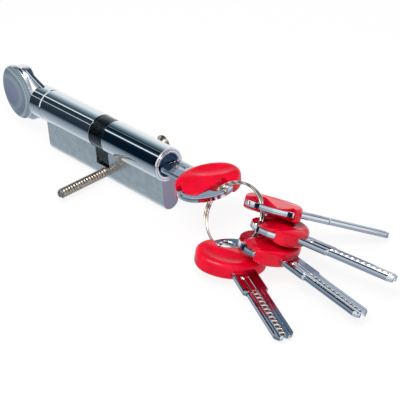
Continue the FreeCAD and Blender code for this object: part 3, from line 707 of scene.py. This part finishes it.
@dataclass
class KeyShape:
    """One key in its own frame: the blade points along -X and lies in the XY plane."""

    blade_length: float = 30.0
    neck_length: float = 13.0
    blade_width: float = 9.0
    neck_width: float = 11.6
    neck_soft: float = 0.08
    root: float = 3.0
    thickness: float = 2.6
    tip_bevel: float = 2.1
    tip_flat: float = 2.4
    tip_notch: float = 1.2
    milled_start: float = -3.0
    milled_soft: float = 0.2
    dimples_start: float = -12.0
    dimples_soft: float = 0.3
    dimple_pitch: float = 2.6
    # Each with its two walls' places across the blade and its depth.
    groove: tuple[float, float, float] = (2.4, 3.4, 0.8)
    track: tuple[float, float, float] = (-0.4, 1.9, 0.45)
    line: tuple[float, float, float] = (-2.3, -2.1, 0.12)
    wall_soft: float = 0.05
    hole_radius: float = 4.8
    hole_middle: float = 19.0
    hole_side: float = 1.0
    bow_bevel: float = 0.25
    opening_start: float = 18.5
    opening_side: float = 5.8
    rays_off: float = 0.7
    rays_end: float = 40.0
    rays_crowd: float = 0.9
    rim_bare: float = 2.3
    rim_start: float = 8.3
    rim_side: float = -2.0
    wall_round: float = 0.35
    cap_half: float = 4.0
    cap_round: float = 2.2
    taper_turn: float = -35.8
    taper_start: float = 8.3
    taper_run: float = 11.5
    taper_end: float = 1.6
    scoop_middle: float = 10.5
    scoop_side: float = 6.0
    scoop_depth: float = 1.0
    scoop_long_bend: float = 47.0
    scoop_short_bend: float = 12.0
    ridge_soft: float = 0.12
    edge_bevel: float = 0.45
    bow: Oval = field(default_factory=lambda: Oval(14.2, -1.2, 14.6, 11.3, 9.4))
    cap: Oval = field(default_factory=lambda: Oval(12.9, 1.1, 16.3, 12.0, 9.5))

    def blade_height(self, x: np.ndarray, y: np.ndarray) -> np.ndarray:
        """Height of the blade's upper face over its middle plane: a deep side groove and a dimpled track.

        Args:
            x: Places along the key.
            y: Places across it.

        Returns:
            Half the thickness less what is milled there, each wall a steep smooth step.
        """
        def band(low: float, high: float) -> np.ndarray:
            """1 between two places across the blade and 0 outside them."""
            return step(y - low, self.wall_soft) * step(high - y, self.wall_soft)

        milled = step(self.milled_start - x, self.milled_soft)
        on_blade = step(self.dimples_start - x, self.dimples_soft)
        groove = self.groove[2] * band(*self.groove[:2])
        wave = 0.5 + 0.5 * np.sin(TURN * x / self.dimple_pitch)
        track = self.track[2] * (1 + wave * on_blade) * band(*self.track[:2])
        line = self.line[2] * band(*self.line[:2])
        half = np.where(x < -self.neck_length, self.blade_width, self.neck_width) / 2
        bevel = np.clip(np.abs(y) - (half - self.edge_bevel), 0, self.edge_bevel)
        return self.thickness / 2 - milled * (groove + track) - on_blade * line - bevel

    def blade_points(self, rows: int = 320, across: int = 97) -> Pair:
        """The blade as one closed skin, each row a loop over the upper face and back under the lower one.

        Args:
            rows: How many loops from root to tip.
            across: How many points over one face.

        Returns:
            Points and quads. The last rows close the tip with its bevels and its notch.
        """
        along = np.linspace(0, 1, rows)[:, None]
        share = np.linspace(-1, 1, across)[None, :]
        tip = -self.neck_length - self.blade_length
        widening = step(self.root + along * (tip - self.root) + self.neck_length, self.neck_soft)
        half = self.blade_width / 2 + (self.neck_width - self.blade_width) / 2 * widening
        off = np.abs(share) * self.blade_width / 2
        end = tip + self.tip_bevel * np.clip((off - self.tip_flat) / self.tip_bevel, 0, 1)
        end = end + np.clip(self.tip_notch - off, 0, None)
        x = self.root + along * (end - self.root)
        y = share * half
        upper = np.stack([x, y, self.blade_height(x, y)], axis=2)
        lower = np.stack([x, y, -self.blade_height(x, -y)], axis=2)[:, ::-1]
        loop = np.concatenate([upper, lower], axis=1)
        columns = loop.shape[1]
        faces = [grid_faces(rows, columns, False, True)]
        here = np.arange(across - 1)
        for start in (0, (rows - 1) * columns):
            back = start + columns - 1 - here
            faces.append(np.stack([start + here, start + here + 1, back - 1, back], 1))
        return loop.reshape(-1, 3), np.concatenate(faces)

    def bow_points(self, rays: int = 180) -> Pair:
        """The bow as a ring: rays from the hole's middle to the oval, each a loop round the plate's section.

        Args:
            rays: How many rays.

        Returns:
            Points and quads.
        """
        angle = circle(rays)
        inner = np.full_like(angle, self.hole_radius)
        outer = self.bow.reach(self.hole_middle, self.hole_side, angle)
        half, bevel = self.thickness / 2, self.bow_bevel
        share = np.array([0.0, 0, 1, 1, 1, 1, 0, 0])
        inset = np.array([0, bevel, -bevel, 0, 0, -bevel, bevel, 0])
        z = np.array([half - bevel, half, half, half - bevel, bevel - half, -half, -half, bevel - half])
        radius = inner[:, None] + share * (outer - inner)[:, None] + inset
        x = self.hole_middle + radius * np.cos(angle)[:, None]
        y = self.hole_side + radius * np.sin(angle)[:, None]
        points = np.stack([x, y, np.broadcast_to(z, x.shape)], axis=2)
        return points.reshape(-1, 3), grid_faces(rays, len(z), True, True)

    def cap_height(self, x: np.ndarray, y: np.ndarray) -> np.ndarray:
        """Height of the cap's face over the key's middle plane.

        The face is the lowest of a pillow with a round edge, a roof that falls to the plate at the free end,
        and a leaf-shaped scoop that is a torus's outside; a soft minimum rounds the ridges between them.

        Args:
            x: Places along the key.
            y: Places across it.

        Returns:
            The heights.
        """
        edge = np.clip(self.cap.depth(x, y), 0, self.cap_round)
        pillow = self.cap_half - self.cap_round + np.sqrt(self.cap_round**2 - (self.cap_round - edge) ** 2)
        turn = np.radians(self.taper_turn)
        run = x * np.cos(turn) + y * np.sin(turn) - self.taper_start
        roof = self.cap_half - np.clip(run / self.taper_run, -1, 1) * (self.cap_half - self.taper_end)
        across = (x - self.scoop_middle) * np.cos(turn) + (y - self.scoop_side) * np.sin(turn)
        along = -(x - self.scoop_middle) * np.sin(turn) + (y - self.scoop_side) * np.cos(turn)
        tube = np.sqrt(np.maximum(self.scoop_short_bend**2 - across**2, LEAST_SQUARE))
        round_about = self.scoop_long_bend - self.scoop_short_bend + tube
        scoop = self.cap_half + self.scoop_long_bend - self.scoop_depth - np.sqrt(
            np.maximum(round_about**2 - along**2, LEAST_SQUARE)
        )
        stack = np.stack([pillow, np.broadcast_to(roof, pillow.shape), scoop])
        low = stack.min(0)
        return low - self.ridge_soft * np.log(np.exp(-(stack - low) / self.ridge_soft).sum(0)) * (edge > 0)

    def kept(self, x: np.ndarray, y: np.ndarray) -> np.ndarray:
        """How far a point lies inside the cap's open walls, negative in the openings for wire and bare rim.

        Args:
            x: Places along the key.
            y: Places across it.

        Returns:
            The distance to the nearer wall of the block cut for the wire and of the strip along the rim.
        """
        block = np.minimum(x - self.opening_start, self.opening_side - y)
        off_rim = np.minimum(self.rim_bare - self.bow.depth(x, y), x - self.rim_start)
        return -np.maximum(block, np.minimum(off_rim, self.rim_side - y))

    def cap_points(self, rays: int = 420, rings: int = 52) -> Pair:
        """The cap: rays from one point inside to its edge, each a loop over the upper face and back under it.

        Args:
            rays: How many rays.
            rings: How many points on a ray, closer together near the edge.

        Returns:
            Points and quads. The rays' common ends are merged to the poles.
        """
        angle = np.linspace(-np.pi, np.pi, rays, endpoint=False)

        def place(away: np.ndarray, angle: np.ndarray) -> Pair:
            """Places along and across the key at distances on the rays."""
            y = self.opening_side + self.rays_off + away * np.sin(angle)
            return self.rim_start + away * np.cos(angle), y

        def inside(away: np.ndarray) -> np.ndarray:
            """Whether the rays are still in the cap and out of its openings."""
            x, y = place(away, angle)
            return np.minimum(self.cap.depth(x, y), self.kept(x, y)) > 0

        share = np.sin(np.linspace(0, np.pi / 2, rings)) ** self.rays_crowd
        x, y = place(ray_reach(inside, angle, self.rays_end)[:, None] * share, angle[:, None])
        wall = self.wall_round - np.clip(self.kept(x, y), 0, self.wall_round)
        z = self.cap_height(x, y) - self.wall_round + np.sqrt(self.wall_round**2 - wall**2)
        loop = np.concatenate([np.stack([x, y, z], axis=2), np.stack([x, y, -z], axis=2)[:, ::-1]], axis=1)
        return loop.reshape(-1, 3), grid_faces(*loop.shape[:2], True, True)


@dataclass
class KeyBunch:
    """The key in the lock and the four loose keys, each a blank and a cap."""

    metal: bpy.types.Material
    plastic: bpy.types.Material
    # Where each key's cap opens for the wire, along the key.
    openings: tuple[float, ...] = (18.5, 16.8, 18.5, 18.5, 15.9)
    # The keys whose heads hang turned over, each with how far that moves the head across.
    turned: dict[int, float] = field(default_factory=lambda: {3: 1.0, 4: 1.0, 5: 0.0})
    sharp: float = 35.0

    def build(self) -> None:
        """Make every key where its CAD node is. A turned one hangs with its head's other face up."""
        for number, (turn, shift) in enumerate(Bunch().places(), start=1):
            body = "key_in_lock" if number == 1 else f"loose_key_{number}"
            shape = KeyShape(opening_start=self.openings[number - 1])
            blade, blade_faces = shape.blade_points()
            bow, bow_faces = shape.bow_points()
            cap, cap_faces = shape.cap_points()
            if number in self.turned:
                flip = np.array([1.0, -1.0, -1.0])
                lift = np.array([0.0, self.turned[number], 0.0])
                bow, cap = bow * flip + lift, cap * flip + lift
            blank = np.concatenate([blade, bow])
            blank_faces = np.concatenate([blade_faces, bow_faces + len(blade)])
            for local, faces, kind, material, slot in (
                (blank, blank_faces, "blank", self.metal, "key_nickel"),
                (cap, cap_faces, "cap", self.plastic, "red_cap"),
            ):
                piece = make_piece(f"dressed_{kind}_{number}", local @ turn.T + shift, faces, self.sharp)
                self.mark_place(piece, turn, shift)
                dress(piece, material, body, f"key_{kind}_{number}")
                self.compare(piece, f"key_{kind}_{number}")

    @staticmethod
    def compare(piece: bpy.types.Object, node: str) -> None:
        """Report how far a piece's box is from that of the node it stands for.

        Args:
            piece: The piece.
            node: The CAD node.
        """
        low, high = (np.array(c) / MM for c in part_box(node))
        box = np.array([v[:] for v in piece.bound_box]) / MM
        off = np.abs(np.concatenate([box.min(0) - low, box.max(0) - high])).max()
        LOG.info("%s leaves the box of %s by %.2f mm", piece.name, node, off)

    @staticmethod
    def mark_place(piece: bpy.types.Object, turn: np.ndarray, shift: np.ndarray) -> None:
        """Store each vertex's place in the key's own frame, in millimetres, for the pattern of its metal.

        Args:
            piece: The piece.
            turn: The key's turn as a matrix.
            shift: The place of its root.
        """
        mesh = piece.data
        flat = np.zeros(len(mesh.vertices) * 3, np.float32)
        mesh.vertices.foreach_get("co", flat)
        local = (flat.reshape(-1, 3) / MM - shift) @ turn
        attribute = mesh.attributes.new("key_place", "FLOAT_VECTOR", "POINT")
        attribute.data.foreach_set("vector", local.astype(np.float32).ravel())


@dataclass
class ThumbKnob:
    """The thumb knob: a collar, an oval grip with a dished face, and two arms between the two."""

    metal: bpy.types.Material
    collar_near: float = -45.3
    collar_far: float = -54.3
    collar_radius: float = 8.5
    collar_bevel: float = 0.4
    bore_radius: float = 4.2
    bore_depth: float = 8.0
    grip_middle: float = -71.8
    grip_half_length: float = 12.7
    grip_half_height: float = 15.0
    grip_end_radius: float = 11.5
    grip_half_thickness: float = 3.5
    grip_round: float = 0.6
    dish_depth: float = 0.7
    dish_rim: float = 11.2
    rim_band: float = 1.2
    back_inset: float = 2.0
    back_fall: float = 1.2
    arm_ends: tuple[float, float] = (-72.0, -49.5)
    # Places along the lock, each with the height of the arm's upper or lower edge or the place of its front
    # or back. The arm is wide and thick at the grip, narrow and thin at the collar.
    arm_top: Line = (
        (-72.0, 14.6), (-68.0, 15.0), (-65.0, 15.0), (-63.0, 14.4), (-59.7, 12.3), (-55.7, 10.6),
        (-51.7, 9.0), (-49.5, 7.6),
    )
    arm_low: Line = (
        (-72.0, 9.6), (-65.1, 10.0), (-62.2, 10.6), (-60.3, 9.4), (-58.2, 7.5), (-54.0, 5.6), (-49.5, 5.0),
    )
    arm_front: Line = ((-66.0, -1.6), (-60.0, -1.3))
    arm_back: Line = ((-66.0, 3.4), (-60.0, 1.3))
    arm_square: float = 0.45
    sharp: float = 30.0

    def build(self) -> None:
        """Join collar, grip and arms to one piece that stands for the CAD knob."""
        skins = [self.collar(), self.grip(), self.arm(Side.UPPER), self.arm(Side.LOWER)]
        counts = np.cumsum([0] + [len(points) for points, _ in skins])
        points = np.concatenate([points for points, _ in skins])
        faces = np.concatenate([faces + count for (_, faces), count in zip(skins, counts)])
        dress(make_piece("plated_knob", points, faces, self.sharp), self.metal, "knob", "knob")

    def collar(self, steps: int = 128) -> Pair:
        """The collar: a profile with bevelled ends, turned about X, hollow for the spindle's neck.

        Args:
            steps: How many points round it.

        Returns:
            Points and quads.
        """
        near, far, radius, bevel = self.collar_near, self.collar_far, self.collar_radius, self.collar_bevel
        bore, floor = self.bore_radius, self.collar_near - self.bore_depth
        profile = np.array([
            [near, bore], [near, radius - bevel], [near - bevel, radius], [far + bevel, radius],
            [far, radius - bevel], [far, 0.0], [floor, 0.0], [floor, bore],
        ])
        points = about_x(profile[:, :1], profile[:, 1:], circle(steps)[None, :])
        return points.reshape(-1, 3), grid_faces(len(profile), steps, True, True)

    def grip(self, rays: int = 160, counts: tuple[int, int, int, int] = (30, 8, 16, 20)) -> Pair:
        """The grip: rays from its middle, each a loop over the dish, round the rim and over the flat back.

        The dish is a parabola of the distance, and the rim and the back's edge are quarter ellipses.

        Args:
            rays: How many rays.
            counts: How many points on dish, rim, back's edge and back.

        Returns:
            Points and quads.
        """
        oval = Oval(0.0, 0.0, self.grip_half_height, self.grip_half_length, self.grip_end_radius, 0.0)
        angle = circle(rays)
        edge = oval.reach(0.0, 0.0, angle)[:, None]
        flat = np.linspace(0, 1, counts[0])[None, :] * (edge - self.grip_round)
        dish = self.dish_depth * np.clip(1 - (flat / self.dish_rim) ** 2, 0, 1)
        turn = np.linspace(0, np.pi / 2, counts[1])[None, 1:]
        half = self.grip_half_thickness
        rim_reach = edge - self.grip_round + self.grip_round * np.sin(turn)
        rim = half - self.grip_round + self.grip_round * np.cos(turn) + 0 * edge
        fall = np.linspace(0, np.pi / 2, counts[2])[None, :]
        back_reach = edge - self.back_inset * (1 - np.cos(fall))
        back = half - self.grip_round - self.rim_band - self.back_fall * np.sin(fall) + 0 * edge
        inner = np.linspace(1, 0, counts[3])[None, 1:] * (edge - self.back_inset)
        reach = np.concatenate([flat, rim_reach, back_reach, inner], axis=1)
        y = -np.concatenate([half - dish, rim, back, back[:, -1:] + 0 * inner], axis=1)
        x = self.grip_middle + reach * np.cos(angle)[:, None]
        loop = np.stack([x, y, reach * np.sin(angle)[:, None]], axis=2)
        return loop.reshape(-1, 3), grid_faces(*loop.shape[:2], True, True)

    def arm(self, side: Side, rows: int = 70, steps: int = 32, soften: int = 9) -> Pair:
        """One arm: a squarish section between an upper and a lower line, and between a front and a back one.

        Cosine and sine, each to a power below 1 and with its sign kept, make the section. A running mean
        rounds the upper and lower lines.

        Args:
            side: Which arm.
            rows: How many sections.
            steps: How many points round one.
            soften: How many rows the running mean takes in.

        Returns:
            Points and quads.
        """
        x = np.linspace(*self.arm_ends, rows)[:, None]
        lines = (self.arm_top, self.arm_low, self.arm_front, self.arm_back)
        top, low, front, back = (np.interp(x, *np.array(line).T) for line in lines)
        mean = np.ones(soften) / soften
        top, low = (
            np.convolve(np.pad(line[:, 0], soften // 2, mode="edge"), mean, mode="valid")[:, None]
            for line in (top, low)
        )
        turn = circle(steps)[None, :]
        across, up = (np.sign(c) * np.abs(c) ** self.arm_square for c in (np.cos(turn), np.sin(turn)))
        z = side.value * ((top + low) / 2 + up * (top - low) / 2)
        skin = np.stack([x + 0 * z, (front + back) / 2 + across * (back - front) / 2, z], axis=2)
        ends = skin.mean(axis=1, keepdims=True) + 0 * skin
        skin = np.concatenate([ends[:1], skin, ends[-1:]])
        return skin.reshape(-1, 3), grid_faces(len(skin), steps, False, True)


@dataclass
class FrontRims:
    """The rolled rims round the plug in the key side's face: one on the housing and one on the plug."""

    metal: bpy.types.Material
    face: float = 45.0
    sunk: float = 0.05
    proud: float = 0.35
    on_housing: tuple[float, float] = (7.45, 8.35)
    on_plug: tuple[float, float] = (6.35, 7.15)
    sharp: float = 60.0

    def build(self, steps: int = 160, across: int = 9) -> None:
        """Turn a half-round profile about X for each rim.

        Args:
            steps: How many points round a rim.
            across: How many points over its profile.
        """
        rims = (("rim_on_housing", "case", self.on_housing), ("rim_on_plug", "plug", self.on_plug))
        turn = np.linspace(0, np.pi, across)[:, None]
        for name, body, (low, high) in rims:
            radius = (low + high) / 2 - (high - low) / 2 * np.cos(turn)
            along = self.face - self.sunk + self.proud * np.sin(turn)
            points = about_x(along, radius, circle(steps)[None, :])
            piece = make_piece(name, points, grid_faces(across, steps, True, True), self.sharp)
            dress(piece, self.metal, body)


@dataclass
class FixingScrew:
    """The long machine screw: a threaded shank with a bevelled tip and a countersunk head, cross recessed."""

    metal: bpy.types.Material
    depth: float = 20.0
    radius: float = 2.5
    tip_reach: float = 33.0
    tip_bevel: float = 0.9
    tip_slope: float = 0.9
    head_reach: float = 35.0
    head_radius: float = 4.7
    head_height: float = 2.6
    head_rim: float = 0.4
    thread_end: float = 31.5
    lead: float = 1.6
    thread_depth: float = 0.32
    recess_span: float = 4.6
    recess_width: float = 0.95
    recess_depth: float = 1.9
    recess_wall: float = 0.15
    face_edge: float = 0.1
    sharp: float = 50.0

    def build(self, steps: int = 96, rows: int = 700, rings: int = 60) -> None:
        """Sweep shank and head as one skin round the screw's axis.

        The shank's radius dips with the place along it plus the angle's share of one lead, which is drawn at
        twice the real 0.8 mm so that it shows. The head's cone, rim and end face follow, and the end face
        sinks where the place across or along the face lies in one of the recess's arms.

        Args:
            steps: How many points round it.
            rows: How many rings along the shank.
            rings: How many rings on the end face.
        """
        angle = circle(steps)[None, :]
        along = np.linspace(-self.tip_reach, self.thread_end, rows)[:, None]
        phase = (along / self.lead + angle / TURN) % 1
        tip = np.clip(self.tip_bevel - (along + self.tip_reach), 0, None)
        shank = self.radius - self.thread_depth * (1 - np.abs(2 * phase - 1)) - tip * self.tip_slope
        head = np.array([
            [self.head_reach - self.head_height, self.radius],
            [self.head_reach - self.head_rim, self.head_radius],
            [self.head_reach, self.head_radius],
        ])
        face = np.linspace(self.head_radius, 0.0, rings)
        along = np.concatenate([along[:, 0], head[:, 0], np.full(rings, self.head_reach)])[:, None]
        radius = np.concatenate([shank, head[:, 1:] + 0 * angle, face[:, None] + 0 * angle])
        x, z = radius * np.cos(angle), radius * np.sin(angle)
        on_face = (along >= self.head_reach) & (radius < self.head_radius - self.face_edge)
        arm, half = self.recess_span / 2, self.recess_width / 2
        crossed = np.minimum(
            np.maximum(np.abs(x) - arm, np.abs(z) - half), np.maximum(np.abs(z) - arm, np.abs(x) - half)
        )
        y = along - on_face * np.clip(-crossed / self.recess_wall, 0, 1) * self.recess_depth
        skin = np.stack([x, y, z - self.depth], axis=2)
        start = np.broadcast_to([0.0, -self.tip_reach, -self.depth], skin[:1].shape)
        skin = np.concatenate([start, skin])
        piece = make_piece("threaded_screw", skin, grid_faces(len(skin), steps, False, True), self.sharp)
        dress(piece, self.metal, "fixing_screw", "fixing_screw")


@dataclass
class PhotographCamera:
    """The camera that was fitted to measured points of the photograph, in degrees, millimetres and pixels."""

    azimuth: float = 48.89
    elevation: float = 31.83
    roll: float = -3.47
    distance: float = 617.9
    focal: float = 1248.2
    frame_width: float = 400.0
    sensor: float = 36.0
    target: tuple[float, float, float] = (41.1, 21.6, -31.1)
    clip: tuple[float, float] = (0.02, 50.0)

    def place(self) -> None:
        """Make the camera from its right, up and back directions and set it as the scene's."""
        a, e, r = np.radians([self.azimuth, self.elevation, self.roll])
        right = np.array([np.cos(a), np.sin(a), 0.0])
        back = np.array([np.sin(a) * np.cos(e), -np.cos(a) * np.cos(e), np.sin(e)])
        up = np.cross(back, right)
        turned = (np.cos(r) * right + np.sin(r) * up, -np.sin(r) * right + np.cos(r) * up, back)
        data = bpy.data.cameras.new("photograph_camera")
        data.sensor_width = self.sensor
        data.lens = self.focal * self.sensor / self.frame_width
        data.clip_start, data.clip_end = self.clip
        camera = bpy.data.objects.new("photograph_camera", data)
        matrix = Matrix([[*(float(d[i]) for d in turned), 0.0] for i in range(3)] + [[0, 0, 0, 1]])
        matrix.translation = Vector(((np.array(self.target) + back * self.distance) * MM).tolist())
        camera.matrix_world = matrix
        bpy.context.scene.collection.objects.link(camera)
        bpy.context.scene.camera = camera


@dataclass
class Studio:
    """White floor and soft light, with cards out of view whose reflections draw the bands on the plated case.

    Each card is curved about the lock's axis, and only mirrors see it. Its place is in degrees about X, from
    +Y towards +Z. Behind the lock the cards fade from white to dark. Over it they are dark, with open slits
    that draw the thin bright lines: one in the near half, a broad and a faint thin one in the far half. Below
    it one card goes from dark at the front to white and grey. The far half of the lock, the near one and the
    keys have cards of their own, parted by their places along X.
    """

    floor_level: float = -24.5
    floor_size: float = 4000.0
    floor_colour: str = "#F4F4F4"
    floor_shade: float = 0.14
    floor_roughness: float = 0.9
    world_light: float = 0.75
    card_radius: float = 700.0
    far_end: float = -950.0
    halves_part: float = -710.0
    near_end: float = -420.0
    keys_end: float = 300.0
    below_reach: tuple[float, float] = (-1800.0, 700.0)
    side_reach: tuple[float, float] = (900.0, 6000.0)
    back_edge: float = 4.0
    top_edge: float = 84.0
    far_slit: tuple[float, float] = (99.0, 106.0)
    near_slit: tuple[float, float] = (117.5, 125.0)
    thin_slit: tuple[float, float] = (135.5, 138.5)
    front_edge: float = 186.0
    below_edge: float = 330.0
    blades_edge: float = 150.0
    keys_span: tuple[float, float] = (24.0, 100.0)
    side_span: tuple[float, float] = (-50.0, 120.0)
    navy: str = "#1A2F3C"
    deep: str = "#0A1826"
    slate: str = "#34424E"
    lamp_place: tuple[float, float, float] = (0.25, -0.35, 0.7)
    lamp_size: float = 0.35
    lamp_power: float = 4.0

    def build(self) -> None:
        """Make the world, the floor, the cards and the lamp."""
        self.world()
        self.floor()
        navy, deep, slate, front = self.navy, self.deep, self.slate, self.front_edge
        near, far = (self.halves_part, self.near_end), (self.far_end, self.halves_part)
        keys = (self.near_end, self.keys_end)
        for name, start, end, reach, stops in (
            ("behind_near", self.back_edge, self.top_edge, near, (
                (0.0, "#FFFFFF"), (0.22, "#F6FCFC"), (0.47, "#D0DDE1"), (0.72, "#7B9196"), (0.97, "#2C404D"),
            )),
            ("behind_far", self.back_edge, self.far_slit[0], far, (
                (0.0, "#FFFFFF"), (0.4, "#EEF7F6"), (0.62, "#9FB0B8"), (0.83, "#4B6370"), (1.0, "#415866"),
            )),
            ("over_near", self.top_edge, self.near_slit[0], near, (
                (0.0, "#2C404D"), (0.1, "#2C404D"), (0.16, "#A5B4C0"), (0.22, navy), (0.5, deep),
                (1.0, "#2A4654"),
            )),
            ("over_far", self.far_slit[1], self.thin_slit[0], far, ((0.0, navy), (1.0, slate))),
            ("front_near", self.near_slit[1], front, near, ((0.0, "#123044"), (0.3, deep), (1.0, deep))),
            ("front_far", self.thin_slit[1], front, far, ((0.0, slate), (0.6, "#2A3642"))),
            ("below", front, self.below_edge, self.below_reach, (
                (0.0, deep), (0.05, "#5F6D79"), (0.16, "#93A1AC"), (0.42, "#BAC5CD"), (0.6, "#E4E9EC"),
                (0.72, "#EEF2F4"), (0.86, "#A3A2B6"), (1.0, "#B9B8C8"),
            )),
            ("blades", self.blades_edge, front, keys, ((0.0, "#E4EBF0"), (1.0, "#8797A6"))),
            ("over_keys", *self.keys_span, keys, ((0.0, "#A9B8C6"), (0.35, "#4A5A6A"), (1.0, "#101C28"))),
            ("at_key_side", *self.side_span, self.side_reach, ((0.0, navy), (1.0, deep))),
        ):
            self.card("card_" + name, (start, end), stops, reach)
        self.lamp()

    def world(self) -> None:
        """White where camera, mirrors and glass look, a little less as light."""
        world = bpy.data.worlds.new("studio")
        bpy.context.scene.world = world
        world.use_nodes = True
        tree = world.node_tree
        path = add_node(tree, "LightPath").outputs
        seen = path["Is Camera Ray"]
        for ray in ("Is Glossy Ray", "Is Transmission Ray"):
            seen = add_node(tree, "Math", {0: seen, 1: path[ray]}, operation="MAXIMUM").outputs[0]
        level = add_node(tree, "MapRange", {0: seen, "To Min": self.world_light, "To Max": 1.0}).outputs[0]
        feed(tree, tree.nodes["Background"], {"Color": (1, 1, 1, 1), "Strength": level})

    def floor(self) -> None:
        """A white floor whose own light leaves only a faint shadow."""
        far, low = self.floor_size, self.floor_level
        corners = np.array([[-far, -far, low], [far, -far, low], [far, far, low], [-far, far, low]])
        mesh = bpy.data.meshes.new("floor")
        mesh.from_pydata((corners * MM).tolist(), [], [(0, 1, 2, 3)])
        floor = bpy.data.objects.new("floor", mesh)
        bpy.context.scene.collection.objects.link(floor)
        material, tree, shader = new_material("white_paper_floor")
        feed(tree, shader, {"Base Color": linear(self.floor_colour), "Roughness": self.floor_roughness})
        glow = add_node(tree, "Emission", {"Color": (1, 1, 1, 1), "Strength": 1.0}).outputs[0]
        both = add_node(tree, "MixShader", {0: self.floor_shade, 1: glow, 2: shader.outputs[0]}).outputs[0]
        feed(tree, tree.nodes["Material Output"], {"Surface": both})
        mesh.materials.append(material)
        floor.visible_glossy = False

    def card(
        self, name: str, span: tuple[float, float], stops: Stops, reach: tuple[float, float], steps: int = 25
    ) -> None:
        """A graded card, curved about the lock's axis, that only mirrors see.

        Args:
            name: The card's name.
            span: Where it starts and ends, in degrees.
            stops: Its colours from start to end, by their share of the span.
            reach: Its two ends along X.
            steps: How many points along its span.
        """
        share = np.linspace(0, 1, steps)[None, :]
        angle = np.radians(span[0] + share * (span[1] - span[0]))
        points = about_x(np.array(reach)[:, None], self.card_radius, angle)
        mesh = bpy.data.meshes.new(name)
        faces = grid_faces(2, steps, False, False)
        mesh.from_pydata((points.reshape(-1, 3) * MM).tolist(), [], faces.tolist())
        attribute = mesh.attributes.new("share", "FLOAT", "POINT")
        attribute.data.foreach_set("value", np.tile(share, (2, 1)).ravel())
        card = bpy.data.objects.new(name, mesh)
        bpy.context.scene.collection.objects.link(card)
        material, tree, _ = new_material("graded_paper_card")
        place = add_node(tree, "Attribute", attribute_name="share").outputs["Fac"]
        colour = add_node(tree, "ValToRGB", {0: place}, stops).outputs[0]
        glow = add_node(tree, "Emission", {"Color": colour}).outputs[0]
        feed(tree, tree.nodes["Material Output"], {"Surface": glow})
        mesh.materials.append(material)
        card.visible_camera = card.visible_diffuse = card.visible_shadow = False

    def lamp(self) -> None:
        """A square soft lamp that points at the lock; place and size are in metres, its power in watts."""
        data = bpy.data.lights.new("key_light", "AREA")
        data.size, data.energy = self.lamp_size, self.lamp_power
        lamp = bpy.data.objects.new("key_light", data)
        lamp.location = self.lamp_place
        lamp.rotation_euler = (-Vector(self.lamp_place)).to_track_quat("-Z", "Y").to_euler()
        bpy.context.scene.collection.objects.link(lamp)


@dataclass
class Metalwork:
    """The case, plug, cam, knob, screw and ring, and the CAD nodes inside, which keep their form."""

    frame: dict
    bevel_width: float = 0.3
    bevel_angle: float = 50.0
    pins: int = 6

    def build(self) -> None:
        """Dress every node but the keys'."""
        case = PlatedCase().make()
        # Nickel-chrome plate, polished: a clean mirror, a little blue.
        plate = PolishedMetal(
            "nickel_chrome_plate_polished", light="#E6E9EE", dark="#D8DDE3", smooth=0.02, worn=0.07
        ).make()
        # Sintered steel, blackened: dark, with broad soft glints from its fine pores.
        black = PolishedMetal(
            "steel_sintered_blackened", light="#565D62", dark="#34393D", smooth=0.14, worn=0.26, cloud_mm=2.0
        ).make()
        # Brass, turned: yellow and half bright. It is seen only where a pin or a stopper shows.
        brass = PolishedMetal(
            "brass_turned", light="#C9A25E", dark="#B58B46", smooth=0.15, worn=0.3, cloud_mm=1.5
        ).make()
        # Spring steel, bright drawn: a neutral grey with a soft shine.
        spring = PolishedMetal(
            "spring_steel_bright", light="#A7A9AB", dark="#87898B", smooth=0.2, worn=0.35, cloud_mm=1.5
        ).make()
        # Steel with zinc-nickel plate, tumbled: a warm grey, satin, without a clear mirror image.
        screw = PolishedMetal(
            "steel_zinc_nickel_plated", light="#B7ADA3", dark="#8E857C", smooth=0.2, worn=0.34, cloud_mm=1.5
        ).make()
        wire = DrawnWire().make()
        ThumbKnob(KnobPlate().make()).build()
        FrontRims(plate).build()
        FixingScrew(screw).build()
        for node, name, body, material, slot, sharp in (
            ("housing", "plated_case", "case", case, "chrome_case", 22.0),
            ("key_plug", "plated_plug", "plug", PlugFace().make(), "chrome_case", 25.0),
            ("cam", "black_cam", "cam", black, "black_steel", 25.0),
            ("split_ring", "coiled_ring", "split_ring", wire, "nickel_steel", 60.0),
        ):
            piece = smooth_copy(self.frame, node, name, sharp)
            dress(piece, material, body, node)
            if node == "housing":
                self.break_edges(piece)
        plain = {
            "chamber_stoppers": brass, "clip_key_side": spring, "clip_knob_side": spring,
            "clutch_coupler": spring, "knob_spindle": plate, "knob_grub_screw": black,
        }
        for number in range(1, self.pins + 1):
            plain[f"key_pin_{number}"] = plain[f"driver_pin_{number}"] = brass
            plain[f"driver_spring_{number}"] = spring
        for node, material in plain.items():
            mesh = self.frame["nodes"][node].data
            mesh.materials.clear()
            mesh.materials.append(material)
            LOG.info("%s keeps its CAD form", node)

    def break_edges(self, piece: bpy.types.Object) -> None:
        """Bevel a piece's sharp edges and keep its faces' own shading.

        Args:
            piece: The piece.
        """
        bevel = piece.modifiers.new("broken_edges", "BEVEL")
        bevel.width, bevel.segments = self.bevel_width * MM, 2
        bevel.limit_method, bevel.angle_limit = "ANGLE", float(np.radians(self.bevel_angle))
        bevel.harden_normals = True


def main() -> None:
    """Build the classes in order."""
    logging.basicConfig(level=logging.INFO, format="%(message)s")
    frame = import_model()
    bpy.context.scene.view_settings.view_transform = "Standard"
    PhotographCamera().place()
    Studio().build()
    Metalwork(frame).build()
    KeyBunch(KeyMetal().make(), MouldedCap().make()).build()


if __name__ == "__main__":
    main()
